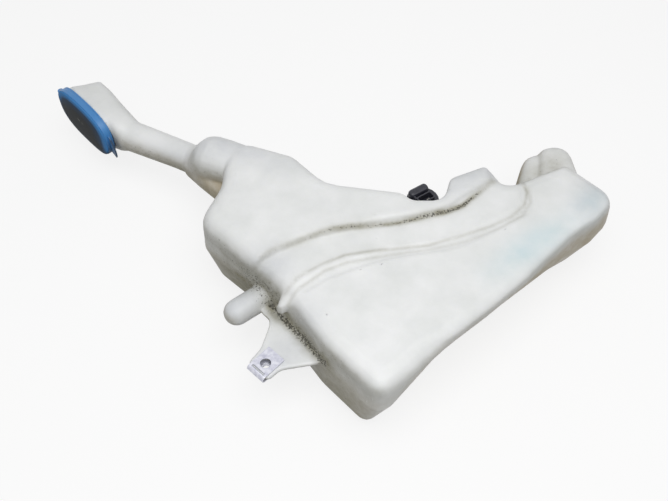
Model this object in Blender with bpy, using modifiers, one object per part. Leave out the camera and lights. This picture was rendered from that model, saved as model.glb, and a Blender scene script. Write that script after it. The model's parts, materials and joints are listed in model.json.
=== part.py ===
"""Washer fluid reservoir of a car, lying on its back face.

A blow-moulded tank with its filler neck, a hinged oval filler cap, a spring
nut on the fixing ear, and the electric pump that stands in a notch of the far
wall. Frame: metres, +Z up through the tank's thickness, +X along its length
away from the filler, the origin under the middle of the object's box.
"""
import math

import bmesh
import bpy
from mathutils import Matrix, Vector

MM = 0.001
GAP = 0.3 * MM

# Tank: heights above the face it rests on, wall and edge rounding
PARTING_Z = 50 * MM
TOP_Z = 84 * MM
STEP_HEIGHT = 5 * MM
WALL = 2.0 * MM
TOP_ROUND = 12 * MM
LEVEL_GAP = 1.5 * MM
BOTTOM_ROUND = 10 * MM
KEPT_FILLET = 0.25
LEAST_FILLET = 0.4 * MM
LEAST_ROUND = 0.5 * MM
STEP_ROUND = 4.6 * MM
UPPER_DRAFT = 0.045
SEAM_HEIGHT = 0.4 * MM
SEAM_WIDTH = 0.9 * MM

# Tank outline at the parting plane, counter-clockwise. Each corner is x, y,
# fillet radius, how far the wall after it comes in at the bottom, in mm, and
# where it differs the share of the fillet that every level keeps.
TANK_OUTLINE = [
    (240.5, 38, 21, 10, 0.4),   # right corner
    (204.5, 75, 10, 3),     # far right, beside the rear lobe
    (150, 49.5, 11, 3),     # between the lobes
    (142, 49.5, 5, 3),
    (131.5, 69.5, 8, 3),    # front lobe, far end
    (96, 53.5, 11, 1),      # front lobe, beside the pump
    (88, 27, 11, 0),        # pump notch
    (64, 27, 6, 0),
    (55, 35.5, 12, 3),
    (-3, 44.3, 30, 4),      # far edge
    (-33, 77, 18, 6),       # shoulder before the neck
    (-93, 99, 20, 11),      # under the dome
    (-95.5, 44, 30, 11),    # left wall bends out
    (-112, 5, 20, 11),      # left shoulder
    (-42.5, -57.5, 70, 3),  # below the peg
    (-8, -107, 50, 4),      # below the ear
    (33.5, -150.5, 13, 18, 0.65),   # bottom corner
    (82.5, -93.5, 50, 20),  # long undercut wall
    (190, -6.5, 60, 18),
    (213, 8, 24, 18),       # its end turns in to the right corner
]

# Top rounds of the walls that differ, by the first corner of the wall, in mm
OTHER_ROUNDS = {0: 26, 8: 7, 12: 14, 13: 14, 17: 6, 18: 6, 19: 6}

# The raised part of the face: a step of its own, then the tank's wall
STEP_LINE = [
    (-63.5, -40, 8, 0),
    (-28, -14, 70, 0),
    (35, 3.5, 150, 0),
    (86, 11.5, 50, 0),
    (136, 47, 7, 0),
]
STEP_BASE_Z = 55 * MM
STEP_WALL_FIRST, STEP_WALL_LAST = 4, 13
NOTCH_FIRST, NOTCH_LAST = 5, 7
NOTCH_ROUND = 3.5 * MM
STEP_INSET = 0.4 * MM

# Groove over the face: centre line corners and fillet radii, in mm
GROOVE_LINE = [(-42, -72, 0), (-6, -46, 60), (38, -28, 100), (95, -18, 80), (156, 17, 13), (160, 70, 0)]
GROOVE_WIDTH = 8.5 * MM
GROOVE_DEPTH = 1.4 * MM
GROOVE_FLANK = 0.9 * MM

# Rear lobe, web beside the neck, ledge under the pump and groove's end nub
LOBE_OUTLINE = [(210.5, 64, 10, 5), (206, 102, 15, 5), (178, 96, 12, 3), (171, 52, 6, 0), (190, 30, 4, 0)]
LOBE_TOP_Z = 75 * MM
SLOPE_OUTLINE = [(200, 60, 10, 6), (196, 99, 10, 6), (167, 92, 15, 3), (150, 44, 6, 0), (186, 30, 4, 0)]
SLOPE_TOP_Z = 69 * MM
LOBE_BOTTOM_Z = 4 * MM
LOBE_TOP_ROUND = 9 * MM
LOBE_BOTTOM_ROUND = 6 * MM
WEB_OUTLINE = [(-136, 91, 4, 3), (-119, 73, 10, 3), (-97, 52, 6, 3), (-80, 64, 4, 0), (-99, 106, 4, 0)]
WEB_BOTTOM_Z = 36 * MM
WEB_TOP_Z = 62 * MM
WEB_ROUND = 9 * MM
LEDGE_OUTLINE = [(100, 18, 6, 0), (100, 63, 8, 2), (51, 63, 8, 2), (51, 18, 6, 0)]
LEDGE_BOTTOM_Z = 1 * MM
LEDGE_TOP_Z = 20 * MM
LEDGE_ROUND = 5 * MM
NUB_OUTLINE = [(-40, -77, 4, 0), (-27, -60.5, 4, 0), (-36, -53.5, 4, 0), (-49, -70, 4, 0)]
NUB_BOTTOM_Z = 63 * MM
NUB_TOP_Z = 79 * MM
NUB_ROUND = 3 * MM

# Neck and dome: centre x, centre y, centre z, radius, from the tank outwards
NECK_DIRECTION = (-0.900, 0.437)
NECK_SECTIONS = [
    (-50, 62, 69, 18),
    (-95, 82, 68.5, 19.5),
    (-107, 87.5, 67.5, 19.6),
    (-114, 91.5, 64.5, 18.4),
    (-119, 95, 59.5, 16.4),
    (-123, 98, 53.5, 14.2),
    (-129, 102, 50.3, 13.2),
    (-140, 108, 50, 13.2),
]
# Filler head, from the neck to the mouth: near rail from the mouth's near end, far rail from its far
# end, in mm, share of the mouth's half height, roundness exponent
HEAD_SECTIONS = [
    (11.2, -7.8, 74.6, -37.6, 0.644, 2.0),
    (8.6, -6.6, 65.7, -28.1, 0.756, 2.3),
    (5.4, -4.6, 55.2, -16.1, 0.867, 2.6),
    (2.9, -2.5, 42.2, -0.1, 0.956, 2.8),
    (1.6, -1.4, 30.7, 11.4, 0.991, 2.8),
    (0.8, -0.7, 13.2, 5.4, 1.0, 2.8),
    (0.4, -0.3, 3.7, 3.4, 1.0, 2.8),
]
MOUTH_CENTRE = (-227.8, 152.4)
MOUTH_ANGLE = -47.0
MOUTH_HALF_LENGTH = 37.2 * MM
MOUTH_HALF_HEIGHT = 22.5 * MM
MOUTH_EXPONENT = 2.8
MOUTH_OPENING = 3 * MM
SECTION_STEPS = 24

# Locating peg, hollow, on the parting plane
PEG_ROOT = (-50, -40)
PEG_TIP = (-76.5, -60.0)
PEG_RADIUS = 10.7 * MM

# Fixing ear, rooted in the wall on both sides of its tab, and its spring nut
EAR_ROOT_LEFT = [(-28, -52, 2, 0), (-60, -58, 3, 0), (-49.5, -68.5, 7, 0), (-56, -93, 12, 0)]
EAR_ROOT_RIGHT = [(-41, -111.5, 12, 0), (-12, -106.3, 2, 0), (0, -92, 2, 0)]
EAR_TAB_WIDTH = 22 * MM
EAR_TAB_FILLET = 4 * MM
EAR_THICKNESS = 4 * MM
EAR_HOLE_RADIUS = 5.0 * MM
NUT_CENTRE = (-51.5, -107.0)
NUT_ANGLE = 46.7
NUT_LENGTH = 23.5 * MM
NUT_BACK_LENGTH = 20.5 * MM
NUT_WIDTH = 17 * MM
NUT_SHEET = 0.9 * MM
NUT_HOLE_RADIUS = 4.2 * MM
NUT_BORE_RADIUS = 3.1 * MM
NUT_COLLAR_RADIUS = 4.4 * MM
NUT_COLLAR_HEIGHT = 3.6 * MM
NUT_WINDOW_WIDTH = 12.5 * MM
NUT_WINDOW_LENGTH = 1.8 * MM

# Filler cap, in the mouth's own frame: X along the oval, Y up, Z out
CAP_OVERHANG = 1.9 * MM
COLLAR_FLANGE = 1.5 * MM
COLLAR_SLEEVE = 1.6 * MM
COLLAR_DEPTH = 4 * MM
COLLAR_RIM = 1.6 * MM
SEAL_HEIGHT = 1.0 * MM
LID_PLATE = 2.2 * MM
LID_SKIRT = 1.7 * MM
LID_EDGE = 1.4 * MM
PANEL_THICKNESS = 1.5 * MM
PANEL_EDGE = 0.8 * MM
PANEL_INSET = 1.2 * MM
PANEL_CROWN = 0.8 * MM
HINGE_REACH = 5.0 * MM
HINGE_RADIUS = 2.8 * MM
HINGE_PIN_RADIUS = 1.0 * MM
HINGE_MIDDLE_HALF = 2.2 * MM
HINGE_LUG_WIDTH = 4.4 * MM
TAB_THICKNESS = 1.2 * MM
TAB_ROOT = 1.2 * MM
TAB_FLARE = 0.45
# Pull tab: place along the lid's end and reach past it, in mm
TAB_EDGE = [(-11.5, 9.0), (-6, 8.0), (0, 6.4), (5, 4.8), (9, 2.6)]

# Pump, standing along Z in the notch
PUMP_AXIS = (75.5, 45.5)
PUMP_RADIUS = 14 * MM
PUMP_WALL = 1.1 * MM
PUMP_TOP_Z = 59 * MM
SPIGOT_RADIUS = 6.0 * MM
SPIGOT_BORE = 3.2 * MM
SPIGOT_BOTTOM_Z = 9 * MM
VOLUTE_TOP_Z = 35 * MM
VOLUTE_FLOOR = 3.6 * MM
VOLUTE_STEP = 0.8 * MM
VOLUTE_CHAMFER = 1 * MM
CHAMBER_RADIUS = 12.0 * MM
NIPPLE_RADIUS = 4.0 * MM
NIPPLE_BORE = 2.5 * MM
NIPPLE_REACH = 31 * MM
NIPPLE_BARB = 0.7 * MM
BARB_PITCH = 3 * MM
BARB_BACK = 0.2 * MM
GROMMET_FLANGE_RADIUS = 12 * MM
GROMMET_FLANGE = 2.6 * MM
GROMMET_LIP_RADIUS = 10.4 * MM
GROMMET_LIP = 2 * MM
LEDGE_HOLE_RADIUS = 9.2 * MM
SCREEN_WALL = 1.0 * MM
SCREEN_BOTTOM_Z = 4.4 * MM
SCREEN_HEIGHT = 9 * MM
SCREEN_SLOTS = 6
SCREEN_SLOT_WIDTH = 2 * MM
SHAFT_RADIUS = 1.0 * MM
IMPELLER_RADIUS = 10 * MM
IMPELLER_HUB = 3.0 * MM
IMPELLER_DISC = 1.2 * MM
IMPELLER_VANES = 5
VANE_HEIGHT = 3.4 * MM
VANE_THICKNESS = 1.0 * MM
SEAL_RADIUS = 4.0 * MM
BEARING_PLATE = 1.6 * MM
CAN_WALL = 0.9 * MM
CAN_HEIGHT = 18 * MM
MAGNET_THICKNESS = 2.0 * MM
MAGNET_SPAN = 130.0
MAGNET_HEIGHT = 11 * MM
MAGNET_LIFT = 1.2 * MM
ROTOR_AIR_GAP = 0.4 * MM
ARMATURE_SLOTS = 5
ARMATURE_HEIGHT = 10 * MM
COMMUTATOR_RADIUS = 3.0 * MM
COMMUTATOR_HEIGHT = 2.4 * MM
BRUSH_SIZE = 1.8 * MM
BRUSH_PLATE = 1.2 * MM
CAP_DISC = 2.0 * MM
CAP_SPIGOT = 1.6 * MM
SOCKET_HEIGHT = 6.4 * MM
SOCKET_LENGTH = 12.6 * MM
SOCKET_WIDTH = 5.8 * MM
SOCKET_WALL = 1.2 * MM
SOCKET_FILLET = 2 * MM
SOCKET_SHIFT = -3.4 * MM
SOCKET_ANGLE = 33.0
TERMINAL_WIDTH = 2.8 * MM
TERMINAL_SHEET = 0.8 * MM
TERMINAL_SPACING = 6.0 * MM
TERMINAL_HEIGHT = 2.2 * MM
HUMP_HALF_LENGTH = 9.4 * MM
HUMP_HALF_WIDTH = 3.9 * MM
HUMP_SHIFT = 7.0 * MM
HUMP_HEIGHT = 6.8 * MM
HUMP_FILLET = 3.2 * MM
HUMP_ROUND = 2.2 * MM
RIB_HEIGHT = 5.2 * MM
RIB_THICKNESS = 1.6 * MM

# Fineness of the arcs: the inner faces are coarser than the outer ones
ARC_STEP = math.radians(24)
INNER_ARC_STEP = math.radians(36)
ROUND_LEVELS = (0, 25, 48, 68, 90)
INNER_ROUND_LEVELS = (0, 45, 90)
ROUND_STEPS = 20


def start_scene():
    """Clear the scene and make the collections for parts and cutters."""
    for item in list(bpy.data.objects):
        bpy.data.objects.remove(item, do_unlink=True)
    parts = bpy.data.collections.new("washer_reservoir")
    tools = bpy.data.collections.new("cutters")
    bpy.context.scene.collection.children.link(parts)
    bpy.context.scene.collection.children.link(tools)
    return parts, tools


PARTS, CUTTERS = start_scene()


def mesh_object(name, mesh, tool=False):
    item = bpy.data.objects.new(name, mesh)
    (CUTTERS if tool else PARTS).objects.link(item)
    if tool:
        item.hide_render = True
        item.display_type = "WIRE"
    return item


def material(name, colour, roughness, metallic=0.0):
    made = bpy.data.materials.new(name)
    made.use_nodes = True
    shader = made.node_tree.nodes["Principled BSDF"]
    shader.inputs["Base Color"].default_value = (*colour, 1.0)
    shader.inputs["Roughness"].default_value = roughness
    shader.inputs["Metallic"].default_value = metallic
    return made


def finish(item, look):
    """Give a finished piece its material and smooth shading."""
    item.data.materials.clear()
    item.data.materials.append(look)
    item.data.shade_smooth()
    item.data.set_sharp_from_angle(angle=math.radians(35))
    return item


def baked(item, name=None, tool=False):
    """Replace an object by the plain mesh that its modifiers make."""
    evaluated = item.evaluated_get(bpy.context.evaluated_depsgraph_get())
    mesh = bpy.data.meshes.new_from_object(evaluated)
    work = bmesh.new()
    work.from_mesh(mesh)
    bmesh.ops.remove_doubles(work, verts=work.verts, dist=1e-6)
    work.to_mesh(mesh)
    work.free()
    matrix = item.matrix_world.copy()
    label = name or item.name
    bpy.data.objects.remove(item, do_unlink=True)
    made = mesh_object(label, mesh, tool)
    made.name = label
    made.matrix_world = matrix
    return made


def combined(base, operation, *others):
    """Join others to base, or cut them from it, and drop them."""
    for other in others:
        change = base.modifiers.new(operation.lower(), "BOOLEAN")
        change.operation = operation
        change.solver = "EXACT"
        change.object = other
        bpy.context.view_layer.update()
        base = baked(base)
        bpy.data.objects.remove(other, do_unlink=True)
    return base


def loft(name, rings, caps=True, tool=False):
    """Closed body through rings of equal length; without caps it closes on itself."""
    work = bmesh.new()
    loops = [[work.verts.new(point) for point in ring] for ring in rings]
    count = len(loops[0])
    pairs = list(zip(loops, loops[1:]))
    if caps:
        work.faces.new(loops[0])
        work.faces.new(loops[-1])
    else:
        pairs.append((loops[-1], loops[0]))
    for low, high in pairs:
        for i in range(count):
            j = (i + 1) % count
            work.faces.new((low[i], low[j], high[j], high[i]))
    bmesh.ops.recalc_face_normals(work, faces=work.faces)
    mesh = bpy.data.meshes.new(name)
    work.to_mesh(mesh)
    work.free()
    return mesh_object(name, mesh, tool)


def turned(name, profile, closed=False, tool=False, steps=ROUND_STEPS):
    """Body of revolution about Z from a profile of (radius, height)."""
    mesh = bpy.data.meshes.new(name)
    count = len(profile)
    edges = [(i, i + 1) for i in range(count - 1)]
    if closed:
        edges.append((count - 1, 0))
    mesh.from_pydata([(r, 0, h) for r, h in profile], edges, [])
    item = mesh_object(name, mesh, tool)
    spin = item.modifiers.new("turn", "SCREW")
    spin.axis = "Z"
    spin.angle = math.tau
    spin.steps = spin.render_steps = steps
    spin.use_merge_vertices = True
    spin.merge_threshold = 1e-6
    bpy.context.view_layer.update()
    return baked(item, tool=tool)


def cylinder(name, radius, low, high, tool=False, steps=ROUND_STEPS):
    return turned(name, [(0, high), (radius, high), (radius, low), (0, low)], tool=tool, steps=steps)


def box(name, size, centre, tool=False):
    bpy.ops.mesh.primitive_cube_add(size=1)
    item = bpy.context.object
    item.name = name
    for group in list(item.users_collection):
        group.objects.unlink(item)
    (CUTTERS if tool else PARTS).objects.link(item)
    item.data.transform(Matrix.Translation(centre) @ Matrix.Diagonal((*size, 1)))
    return item


def extruded(name, outline, low, high, tool=False):
    """Flat outline, a 2D curve filled on both sides, between two heights."""
    curve = bpy.data.curves.new(name, "CURVE")
    curve.dimensions = "2D"
    curve.fill_mode = "BOTH"
    curve.extrude = (high - low) / 2
    line = curve.splines.new("POLY")
    line.points.add(len(outline) - 1)
    for place, point in zip(line.points, outline):
        place.co = (point[0], point[1], 0, 1)
    line.use_cyclic_u = True
    item = mesh_object(name, curve, tool)
    bpy.context.view_layer.update()
    return placed(baked(item, tool=tool), Matrix.Translation((0, 0, (low + high) / 2)))


def placed(item, matrix):
    item.data.transform(matrix)
    return item


def moved_corners(corners, insets):
    """Corner points of an outline whose edges each move inward by an inset."""
    points = [Vector((c[0], c[1])) * MM for c in corners]
    count = len(points)
    lines = []
    for i in range(count):
        start, end = points[i], points[(i + 1) % count]
        along = (end - start).normalized()
        inward = Vector((-along.y, along.x))
        lines.append((start + inward * insets[i], along))
    result = []
    for i in range(count):
        (a, u), (b, v) = lines[i - 1], lines[i]
        cross = u.x * v.y - u.y * v.x
        result.append(a + u * (((b - a).x * v.y - (b - a).y * v.x) / cross))
    return result


def filleted(corners, insets=None, arc_step=ARC_STEP):
    """Closed outline with its corners rounded, its edges moved inward."""
    count = len(corners)
    insets = insets or [0.0] * count
    points = moved_corners(corners, insets)
    outline = []
    for i in range(count):
        before = (points[i] - points[i - 1]).normalized()
        after = (points[(i + 1) % count] - points[i]).normalized()
        turn = math.atan2(before.x * after.y - before.y * after.x, before.dot(after))
        shift = (insets[i - 1] + insets[i]) / 2
        radius = corners[i][2] * MM - math.copysign(shift, turn)
        kept = corners[i][4] if len(corners[i]) > 4 else KEPT_FILLET
        radius = max(radius, kept * corners[i][2] * MM, LEAST_FILLET)
        reach = radius * math.tan(abs(turn) / 2)
        side = Vector((-before.y, before.x)) * math.copysign(1, turn)
        centre = points[i] - before * reach + side * radius
        steps = max(2, math.ceil(abs(turn) / arc_step - 0.01))
        for k in range(steps + 1):
            angle = turn * k / steps
            arm = -side * radius
            arm = Vector((arm.x * math.cos(angle) - arm.y * math.sin(angle),
                          arm.x * math.sin(angle) + arm.y * math.cos(angle)))
            outline.append(centre + arm)
    return outline


def slab(name, corners, low, high, low_round, high_round, shell=0.0, seam=False, base=0.0, rounds=None):
    """Rounded block on an outline: walls lean in below the parting plane and
    draft in above it, and the edges round over. shell moves every face in."""
    top, bottom = high - shell, low + shell
    rounds = rounds or [high_round] * len(corners)
    arc_step, levels = (INNER_ARC_STEP, INNER_ROUND_LEVELS) if shell else (ARC_STEP, ROUND_LEVELS)
    heights = set()
    for radius in set(rounds):
        reach = max(radius - shell, LEAST_ROUND)
        heights.update(top - reach * (1 - math.sin(math.radians(a))) for a in levels)
    if low_round:
        reach = max(low_round - shell, LEAST_ROUND)
        heights.update(bottom + reach * (1 - math.sin(math.radians(a))) for a in (0, 45, 90))
    else:
        heights.add(bottom)
    if low < PARTING_Z < high:
        heights.add(PARTING_Z)
        if seam:
            heights.update((PARTING_Z - SEAM_WIDTH, PARTING_Z + SEAM_WIDTH))
    kept = {top, bottom, PARTING_Z, PARTING_Z - SEAM_WIDTH, PARTING_Z + SEAM_WIDTH}
    levels = []
    for z in sorted(heights):
        if not levels or z in kept or z - levels[-1] >= LEVEL_GAP:
            levels.append(z)
    if top - levels[-2] < LEVEL_GAP / 3:
        levels.pop(-2)
    rings = []
    for z in levels:
        insets = []
        for corner, radius in zip(corners, rounds):
            inset = base + shell
            if z < PARTING_Z:
                inset += corner[3] * MM * (PARTING_Z - z) / PARTING_Z
            else:
                inset += UPPER_DRAFT * (z - PARTING_Z)
            reach = max(radius - shell, LEAST_ROUND)
            if z > top - reach:
                inset += reach - math.sqrt(max(reach ** 2 - (z - top + reach) ** 2, 0))
            if low_round:
                under = max(low_round - shell, LEAST_ROUND)
                if z < bottom + under:
                    inset += under - math.sqrt(max(under ** 2 - (bottom + under - z) ** 2, 0))
            if seam and z == PARTING_Z:
                inset -= SEAM_HEIGHT
            insets.append(inset)
        rings.append([(p.x, p.y, z) for p in filleted(corners, insets, arc_step)])
    return loft(name, rings)


def oval(half_length, half_height, exponent, steps=SECTION_STEPS):
    """Points of a superellipse, from the ellipse to the rounded box."""
    points = []
    for k in range(steps):
        angle = math.tau * (k + 0.5) / steps
        c, s = math.cos(angle), math.sin(angle)
        points.append((half_length * math.copysign(abs(c) ** (2 / exponent), c),
                       half_height * math.copysign(abs(s) ** (2 / exponent), s)))
    return points


def section(near, far, height, exponent, z, shell):
    """Upright cross-section between the near and the far rail of the neck."""
    near, far = Vector(near), Vector(far)
    across = (far - near).normalized()
    middle = (near + far) / 2
    half = (far - near).length / 2 - shell
    ring = []
    for x, y in oval(half, height - shell, exponent):
        point = middle + across * x
        ring.append((point.x, point.y, z + y))
    return ring


def mouth_frame():
    """The filler mouth's own frame: X along the oval, Y up, Z out of the mouth."""
    angle = math.radians(MOUTH_ANGLE)
    along = Vector((math.cos(angle), math.sin(angle), 0))
    out = Vector((math.sin(angle), -math.cos(angle), 0))
    frame = Matrix.Identity(4)
    frame.col[0][:3] = along
    frame.col[1][:3] = (0, 0, 1)
    frame.col[2][:3] = out
    frame.col[3][:3] = (MOUTH_CENTRE[0] * MM, MOUTH_CENTRE[1] * MM, PARTING_Z)
    return frame


MOUTH = mouth_frame()


def neck(name, shell):
    """Dome, neck and filler head as one loft, open past the mouth if it is the inside."""
    along = Vector(NECK_DIRECTION)
    across = Vector((along.y, -along.x))
    rings = []
    for x, y, z, radius in NECK_SECTIONS:
        centre, arm = Vector((x, y)) * MM, across * radius * MM
        rings.append(section(centre - arm, centre + arm, radius * MM, 2.0, z * MM, shell))
    near_end, far_end = (MOUTH @ Vector((x, 0, 0)) for x in (MOUTH_HALF_LENGTH, -MOUTH_HALF_LENGTH))
    for x0, y0, x1, y1, height, exponent in HEAD_SECTIONS:
        near = near_end.xy + Vector((x0, y0)) * MM
        far = far_end.xy + Vector((x1, y1)) * MM
        rings.append(section(near, far, height * MOUTH_HALF_HEIGHT, exponent, PARTING_Z, shell))
    reach = MOUTH_OPENING if shell else 0.0
    mouth = oval(MOUTH_HALF_LENGTH - shell, MOUTH_HALF_HEIGHT - shell, MOUTH_EXPONENT)
    for out in sorted({0.0, reach}):
        rings.append([MOUTH @ Vector((-x, y, out)) for x, y in mouth])
    return loft(name, rings)


def peg(name, shell):
    """Hollow round-ended peg on the wall, a turned shape laid on its side."""
    root, tip = Vector(PEG_ROOT) * MM, Vector(PEG_TIP) * MM
    radius = PEG_RADIUS - shell
    length = (tip - root).length
    profile = [(radius * math.sin(math.radians(a)), length + radius * math.cos(math.radians(a)))
               for a in range(0, 91, 15)]
    profile += [(radius, 0), (0, 0)]
    item = turned(name, profile, steps=24)
    along = Vector((tip.x - root.x, tip.y - root.y, 0)).to_track_quat("Z", "Y").to_matrix().to_4x4()
    return placed(item, Matrix.Translation((root.x, root.y, PARTING_Z)) @ along)


def step_slab(name, shell):
    """The raised part of the face, with a tight round along its step."""
    places = range(STEP_WALL_FIRST, STEP_WALL_LAST + 1)
    corners = STEP_LINE + [TANK_OUTLINE[i] for i in places]
    rounds = [STEP_ROUND] * (len(STEP_LINE) - 1) + [TOP_ROUND]
    rounds += [NOTCH_ROUND if NOTCH_FIRST <= i <= NOTCH_LAST else OTHER_ROUNDS.get(i, TOP_ROUND / MM) * MM
               for i in places]
    return slab(name, corners, STEP_BASE_Z, TOP_Z + STEP_HEIGHT, 0, TOP_ROUND, shell,
                base=STEP_INSET, rounds=rounds)


def groove(name, shell):
    """Cutter that runs along the groove's centre line, flanks leaning out."""
    half = GROOVE_WIDTH / 2 + shell
    left, right = [], []
    for i, (x, y, radius) in enumerate(GROOVE_LINE):
        here = Vector((x, y))
        last, ahead = GROOVE_LINE[max(i - 1, 0)], GROOVE_LINE[min(i + 1, len(GROOVE_LINE) - 1)]
        before = (here - Vector(last[:2])).normalized() if i else None
        after = (Vector(ahead[:2]) - here).normalized() if i < len(GROOVE_LINE) - 1 else None
        before, after = before or after, after or before
        side = (Vector((-before.y, before.x)) + Vector((-after.y, after.x))).normalized()
        reach = half / MM / side.dot(Vector((-after.y, after.x)))
        bend = math.copysign(half / MM, before.x * after.y - before.y * after.x)
        left.append((*(here + side * reach), max(radius - bend, 0.5), 0))
        right.append((*(here - side * reach), max(radius + bend, 0.5), 0))
    corners = right + left[::-1]
    floor = TOP_Z - GROOVE_DEPTH - shell
    flat = [0.0] * len(corners)
    wide = [-GROOVE_FLANK] * len(corners)
    wider = [-GROOVE_FLANK * 3] * len(corners)
    levels = ((floor, flat), (floor + GROOVE_DEPTH, wide), (floor + GROOVE_DEPTH * 3, wider))
    rings = [[(p.x, p.y, z) for p in filleted(corners, insets)] for z, insets in levels]
    return loft(name, rings, tool=True)


def tank_form(name, shell):
    """The moulded form: body, raised face, lobe, web, ledge, neck and peg."""
    outer = shell == 0
    rounds = [OTHER_ROUNDS.get(i, TOP_ROUND / MM) * MM for i in range(len(TANK_OUTLINE))]
    body = slab(name, TANK_OUTLINE, 0, TOP_Z, BOTTOM_ROUND, TOP_ROUND, shell, seam=outer, rounds=rounds)
    extra = [
        step_slab(name + "_step", shell),
        slab(name + "_lobe", LOBE_OUTLINE, LOBE_BOTTOM_Z, LOBE_TOP_Z, LOBE_BOTTOM_ROUND, LOBE_TOP_ROUND,
             shell),
        slab(name + "_slope", SLOPE_OUTLINE, LOBE_BOTTOM_Z, SLOPE_TOP_Z, LOBE_BOTTOM_ROUND, LOBE_TOP_ROUND,
             shell),
        slab(name + "_web", WEB_OUTLINE, WEB_BOTTOM_Z, WEB_TOP_Z, WEB_ROUND, WEB_ROUND, shell),
        slab(name + "_ledge", LEDGE_OUTLINE, LEDGE_BOTTOM_Z, LEDGE_TOP_Z, LEDGE_ROUND, LEDGE_ROUND, shell),
        neck(name + "_neck", shell),
        peg(name + "_peg", shell),
    ]
    return combined(body, "UNION", *extra)


def ear_outline():
    """Ear whose tab ends where the spring nut's fold begins to bend."""
    angle = math.radians(NUT_ANGLE)
    along, across = Vector((math.cos(angle), math.sin(angle))), Vector((-math.sin(angle), math.cos(angle)))
    end = Vector(NUT_CENTRE) * MM - along * (NUT_LENGTH / 2 - EAR_THICKNESS / 2 - GAP - NUT_SHEET)
    tab = [end + across * EAR_TAB_WIDTH / 2, end - across * EAR_TAB_WIDTH / 2]
    return EAR_ROOT_LEFT + [(*(p / MM), EAR_TAB_FILLET / MM, 0) for p in tab] + EAR_ROOT_RIGHT


def ear_plate(name):
    """Solid pinched ear in the parting plane, with the screw's hole."""
    half = EAR_THICKNESS / 2
    plate = extruded(name, filleted(ear_outline()), PARTING_Z - half, PARTING_Z + half)
    hole = cylinder(name + "_hole", EAR_HOLE_RADIUS, -half * 3, half * 3, tool=True)
    placed(hole, Matrix.Translation((NUT_CENTRE[0] * MM, NUT_CENTRE[1] * MM, PARTING_Z)))
    return combined(plate, "DIFFERENCE", hole)


def tank_shell(look):
    outside = tank_form("tank_shell", 0.0)
    outside = combined(outside, "DIFFERENCE", groove("tank_groove", 0.0))
    nub = slab("tank_nub", NUB_OUTLINE, NUB_BOTTOM_Z, NUB_TOP_Z, NUB_ROUND, NUB_ROUND)
    outside = combined(outside, "UNION", nub, ear_plate("tank_ear"))
    inside = tank_form("tank_inside", WALL)
    inside = combined(inside, "DIFFERENCE", groove("tank_inner_groove", WALL))
    low, high = LEDGE_TOP_Z - WALL * 3, LEDGE_TOP_Z + WALL
    hole = cylinder("tank_pump_hole", LEDGE_HOLE_RADIUS, low, high, tool=True)
    placed(hole, Matrix.Translation((PUMP_AXIS[0] * MM, PUMP_AXIS[1] * MM, 0)))
    return finish(combined(outside, "DIFFERENCE", inside, hole), look)


def oval_levels(name, levels, caps=True, steps=SECTION_STEPS):
    """Loft of ovals that follow the mouth, each of (offset, height)."""
    rings = []
    for offset, z in levels:
        points = oval(MOUTH_HALF_LENGTH + offset, MOUTH_HALF_HEIGHT + offset, MOUTH_EXPONENT, steps)
        rings.append([(x, y, z) for x, y in points])
    return loft(name, rings, caps=caps)


HINGE_X = -(MOUTH_HALF_LENGTH + CAP_OVERHANG + HINGE_REACH)
FLANGE_TOP = GAP + COLLAR_FLANGE
SKIRT_Z = FLANGE_TOP + GAP
HINGE_Z = SKIRT_Z + GAP
RIM_TOP = FLANGE_TOP + COLLAR_RIM
SEAL_Z = RIM_TOP + GAP
LID_CEILING = SEAL_Z + SEAL_HEIGHT + GAP
LID_TOP = LID_CEILING + LID_PLATE
PANEL_Z = LID_TOP + GAP
PANEL_TOP = PANEL_Z + PANEL_THICKNESS
SLEEVE_OFFSET = -WALL - GAP


def hinge_barrel(name, low, high, foot_low, foot_high, foot_end):
    """Knuckle about the hinge line with a foot that reaches to the cap."""
    barrel = cylinder(name, HINGE_RADIUS, low, high, steps=20)
    placed(barrel, Matrix.Translation((HINGE_X, 0, HINGE_Z)) @ Matrix.Rotation(-math.pi / 2, 4, "X"))
    size = (foot_end - HINGE_X, high - low, foot_high - foot_low)
    middle = ((foot_end + HINGE_X) / 2, (low + high) / 2, (foot_low + foot_high) / 2)
    return combined(barrel, "UNION", box(name + "_foot", size, middle))


def hinge_bore(name):
    reach = HINGE_MIDDLE_HALF + HINGE_LUG_WIDTH + 4 * GAP
    bore = cylinder(name, HINGE_PIN_RADIUS + GAP, -reach, reach, tool=True, steps=16)
    return placed(bore, Matrix.Translation((HINGE_X, 0, HINGE_Z)) @ Matrix.Rotation(-math.pi / 2, 4, "X"))


def cap_collar(look):
    """Ring that clips into the mouth, with the hinge's middle knuckle."""
    inner = SLEEVE_OFFSET - COLLAR_SLEEVE
    profile = [(CAP_OVERHANG, GAP), (CAP_OVERHANG, FLANGE_TOP), (SLEEVE_OFFSET, FLANGE_TOP),
               (SLEEVE_OFFSET, RIM_TOP), (inner, RIM_TOP), (inner, -COLLAR_DEPTH),
               (SLEEVE_OFFSET, -COLLAR_DEPTH), (SLEEVE_OFFSET, GAP)]
    ring = oval_levels("cap_collar", profile, caps=False)
    edge = -(MOUTH_HALF_LENGTH + CAP_OVERHANG / 2)
    knuckle = hinge_barrel("collar_knuckle", -HINGE_MIDDLE_HALF, HINGE_MIDDLE_HALF, GAP * 1.1,
                           FLANGE_TOP - GAP * 0.1, edge)
    ring = combined(ring, "UNION", knuckle)
    ring = combined(ring, "DIFFERENCE", hinge_bore("collar_bore"))
    return finish(placed(ring, MOUTH), look)


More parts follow.
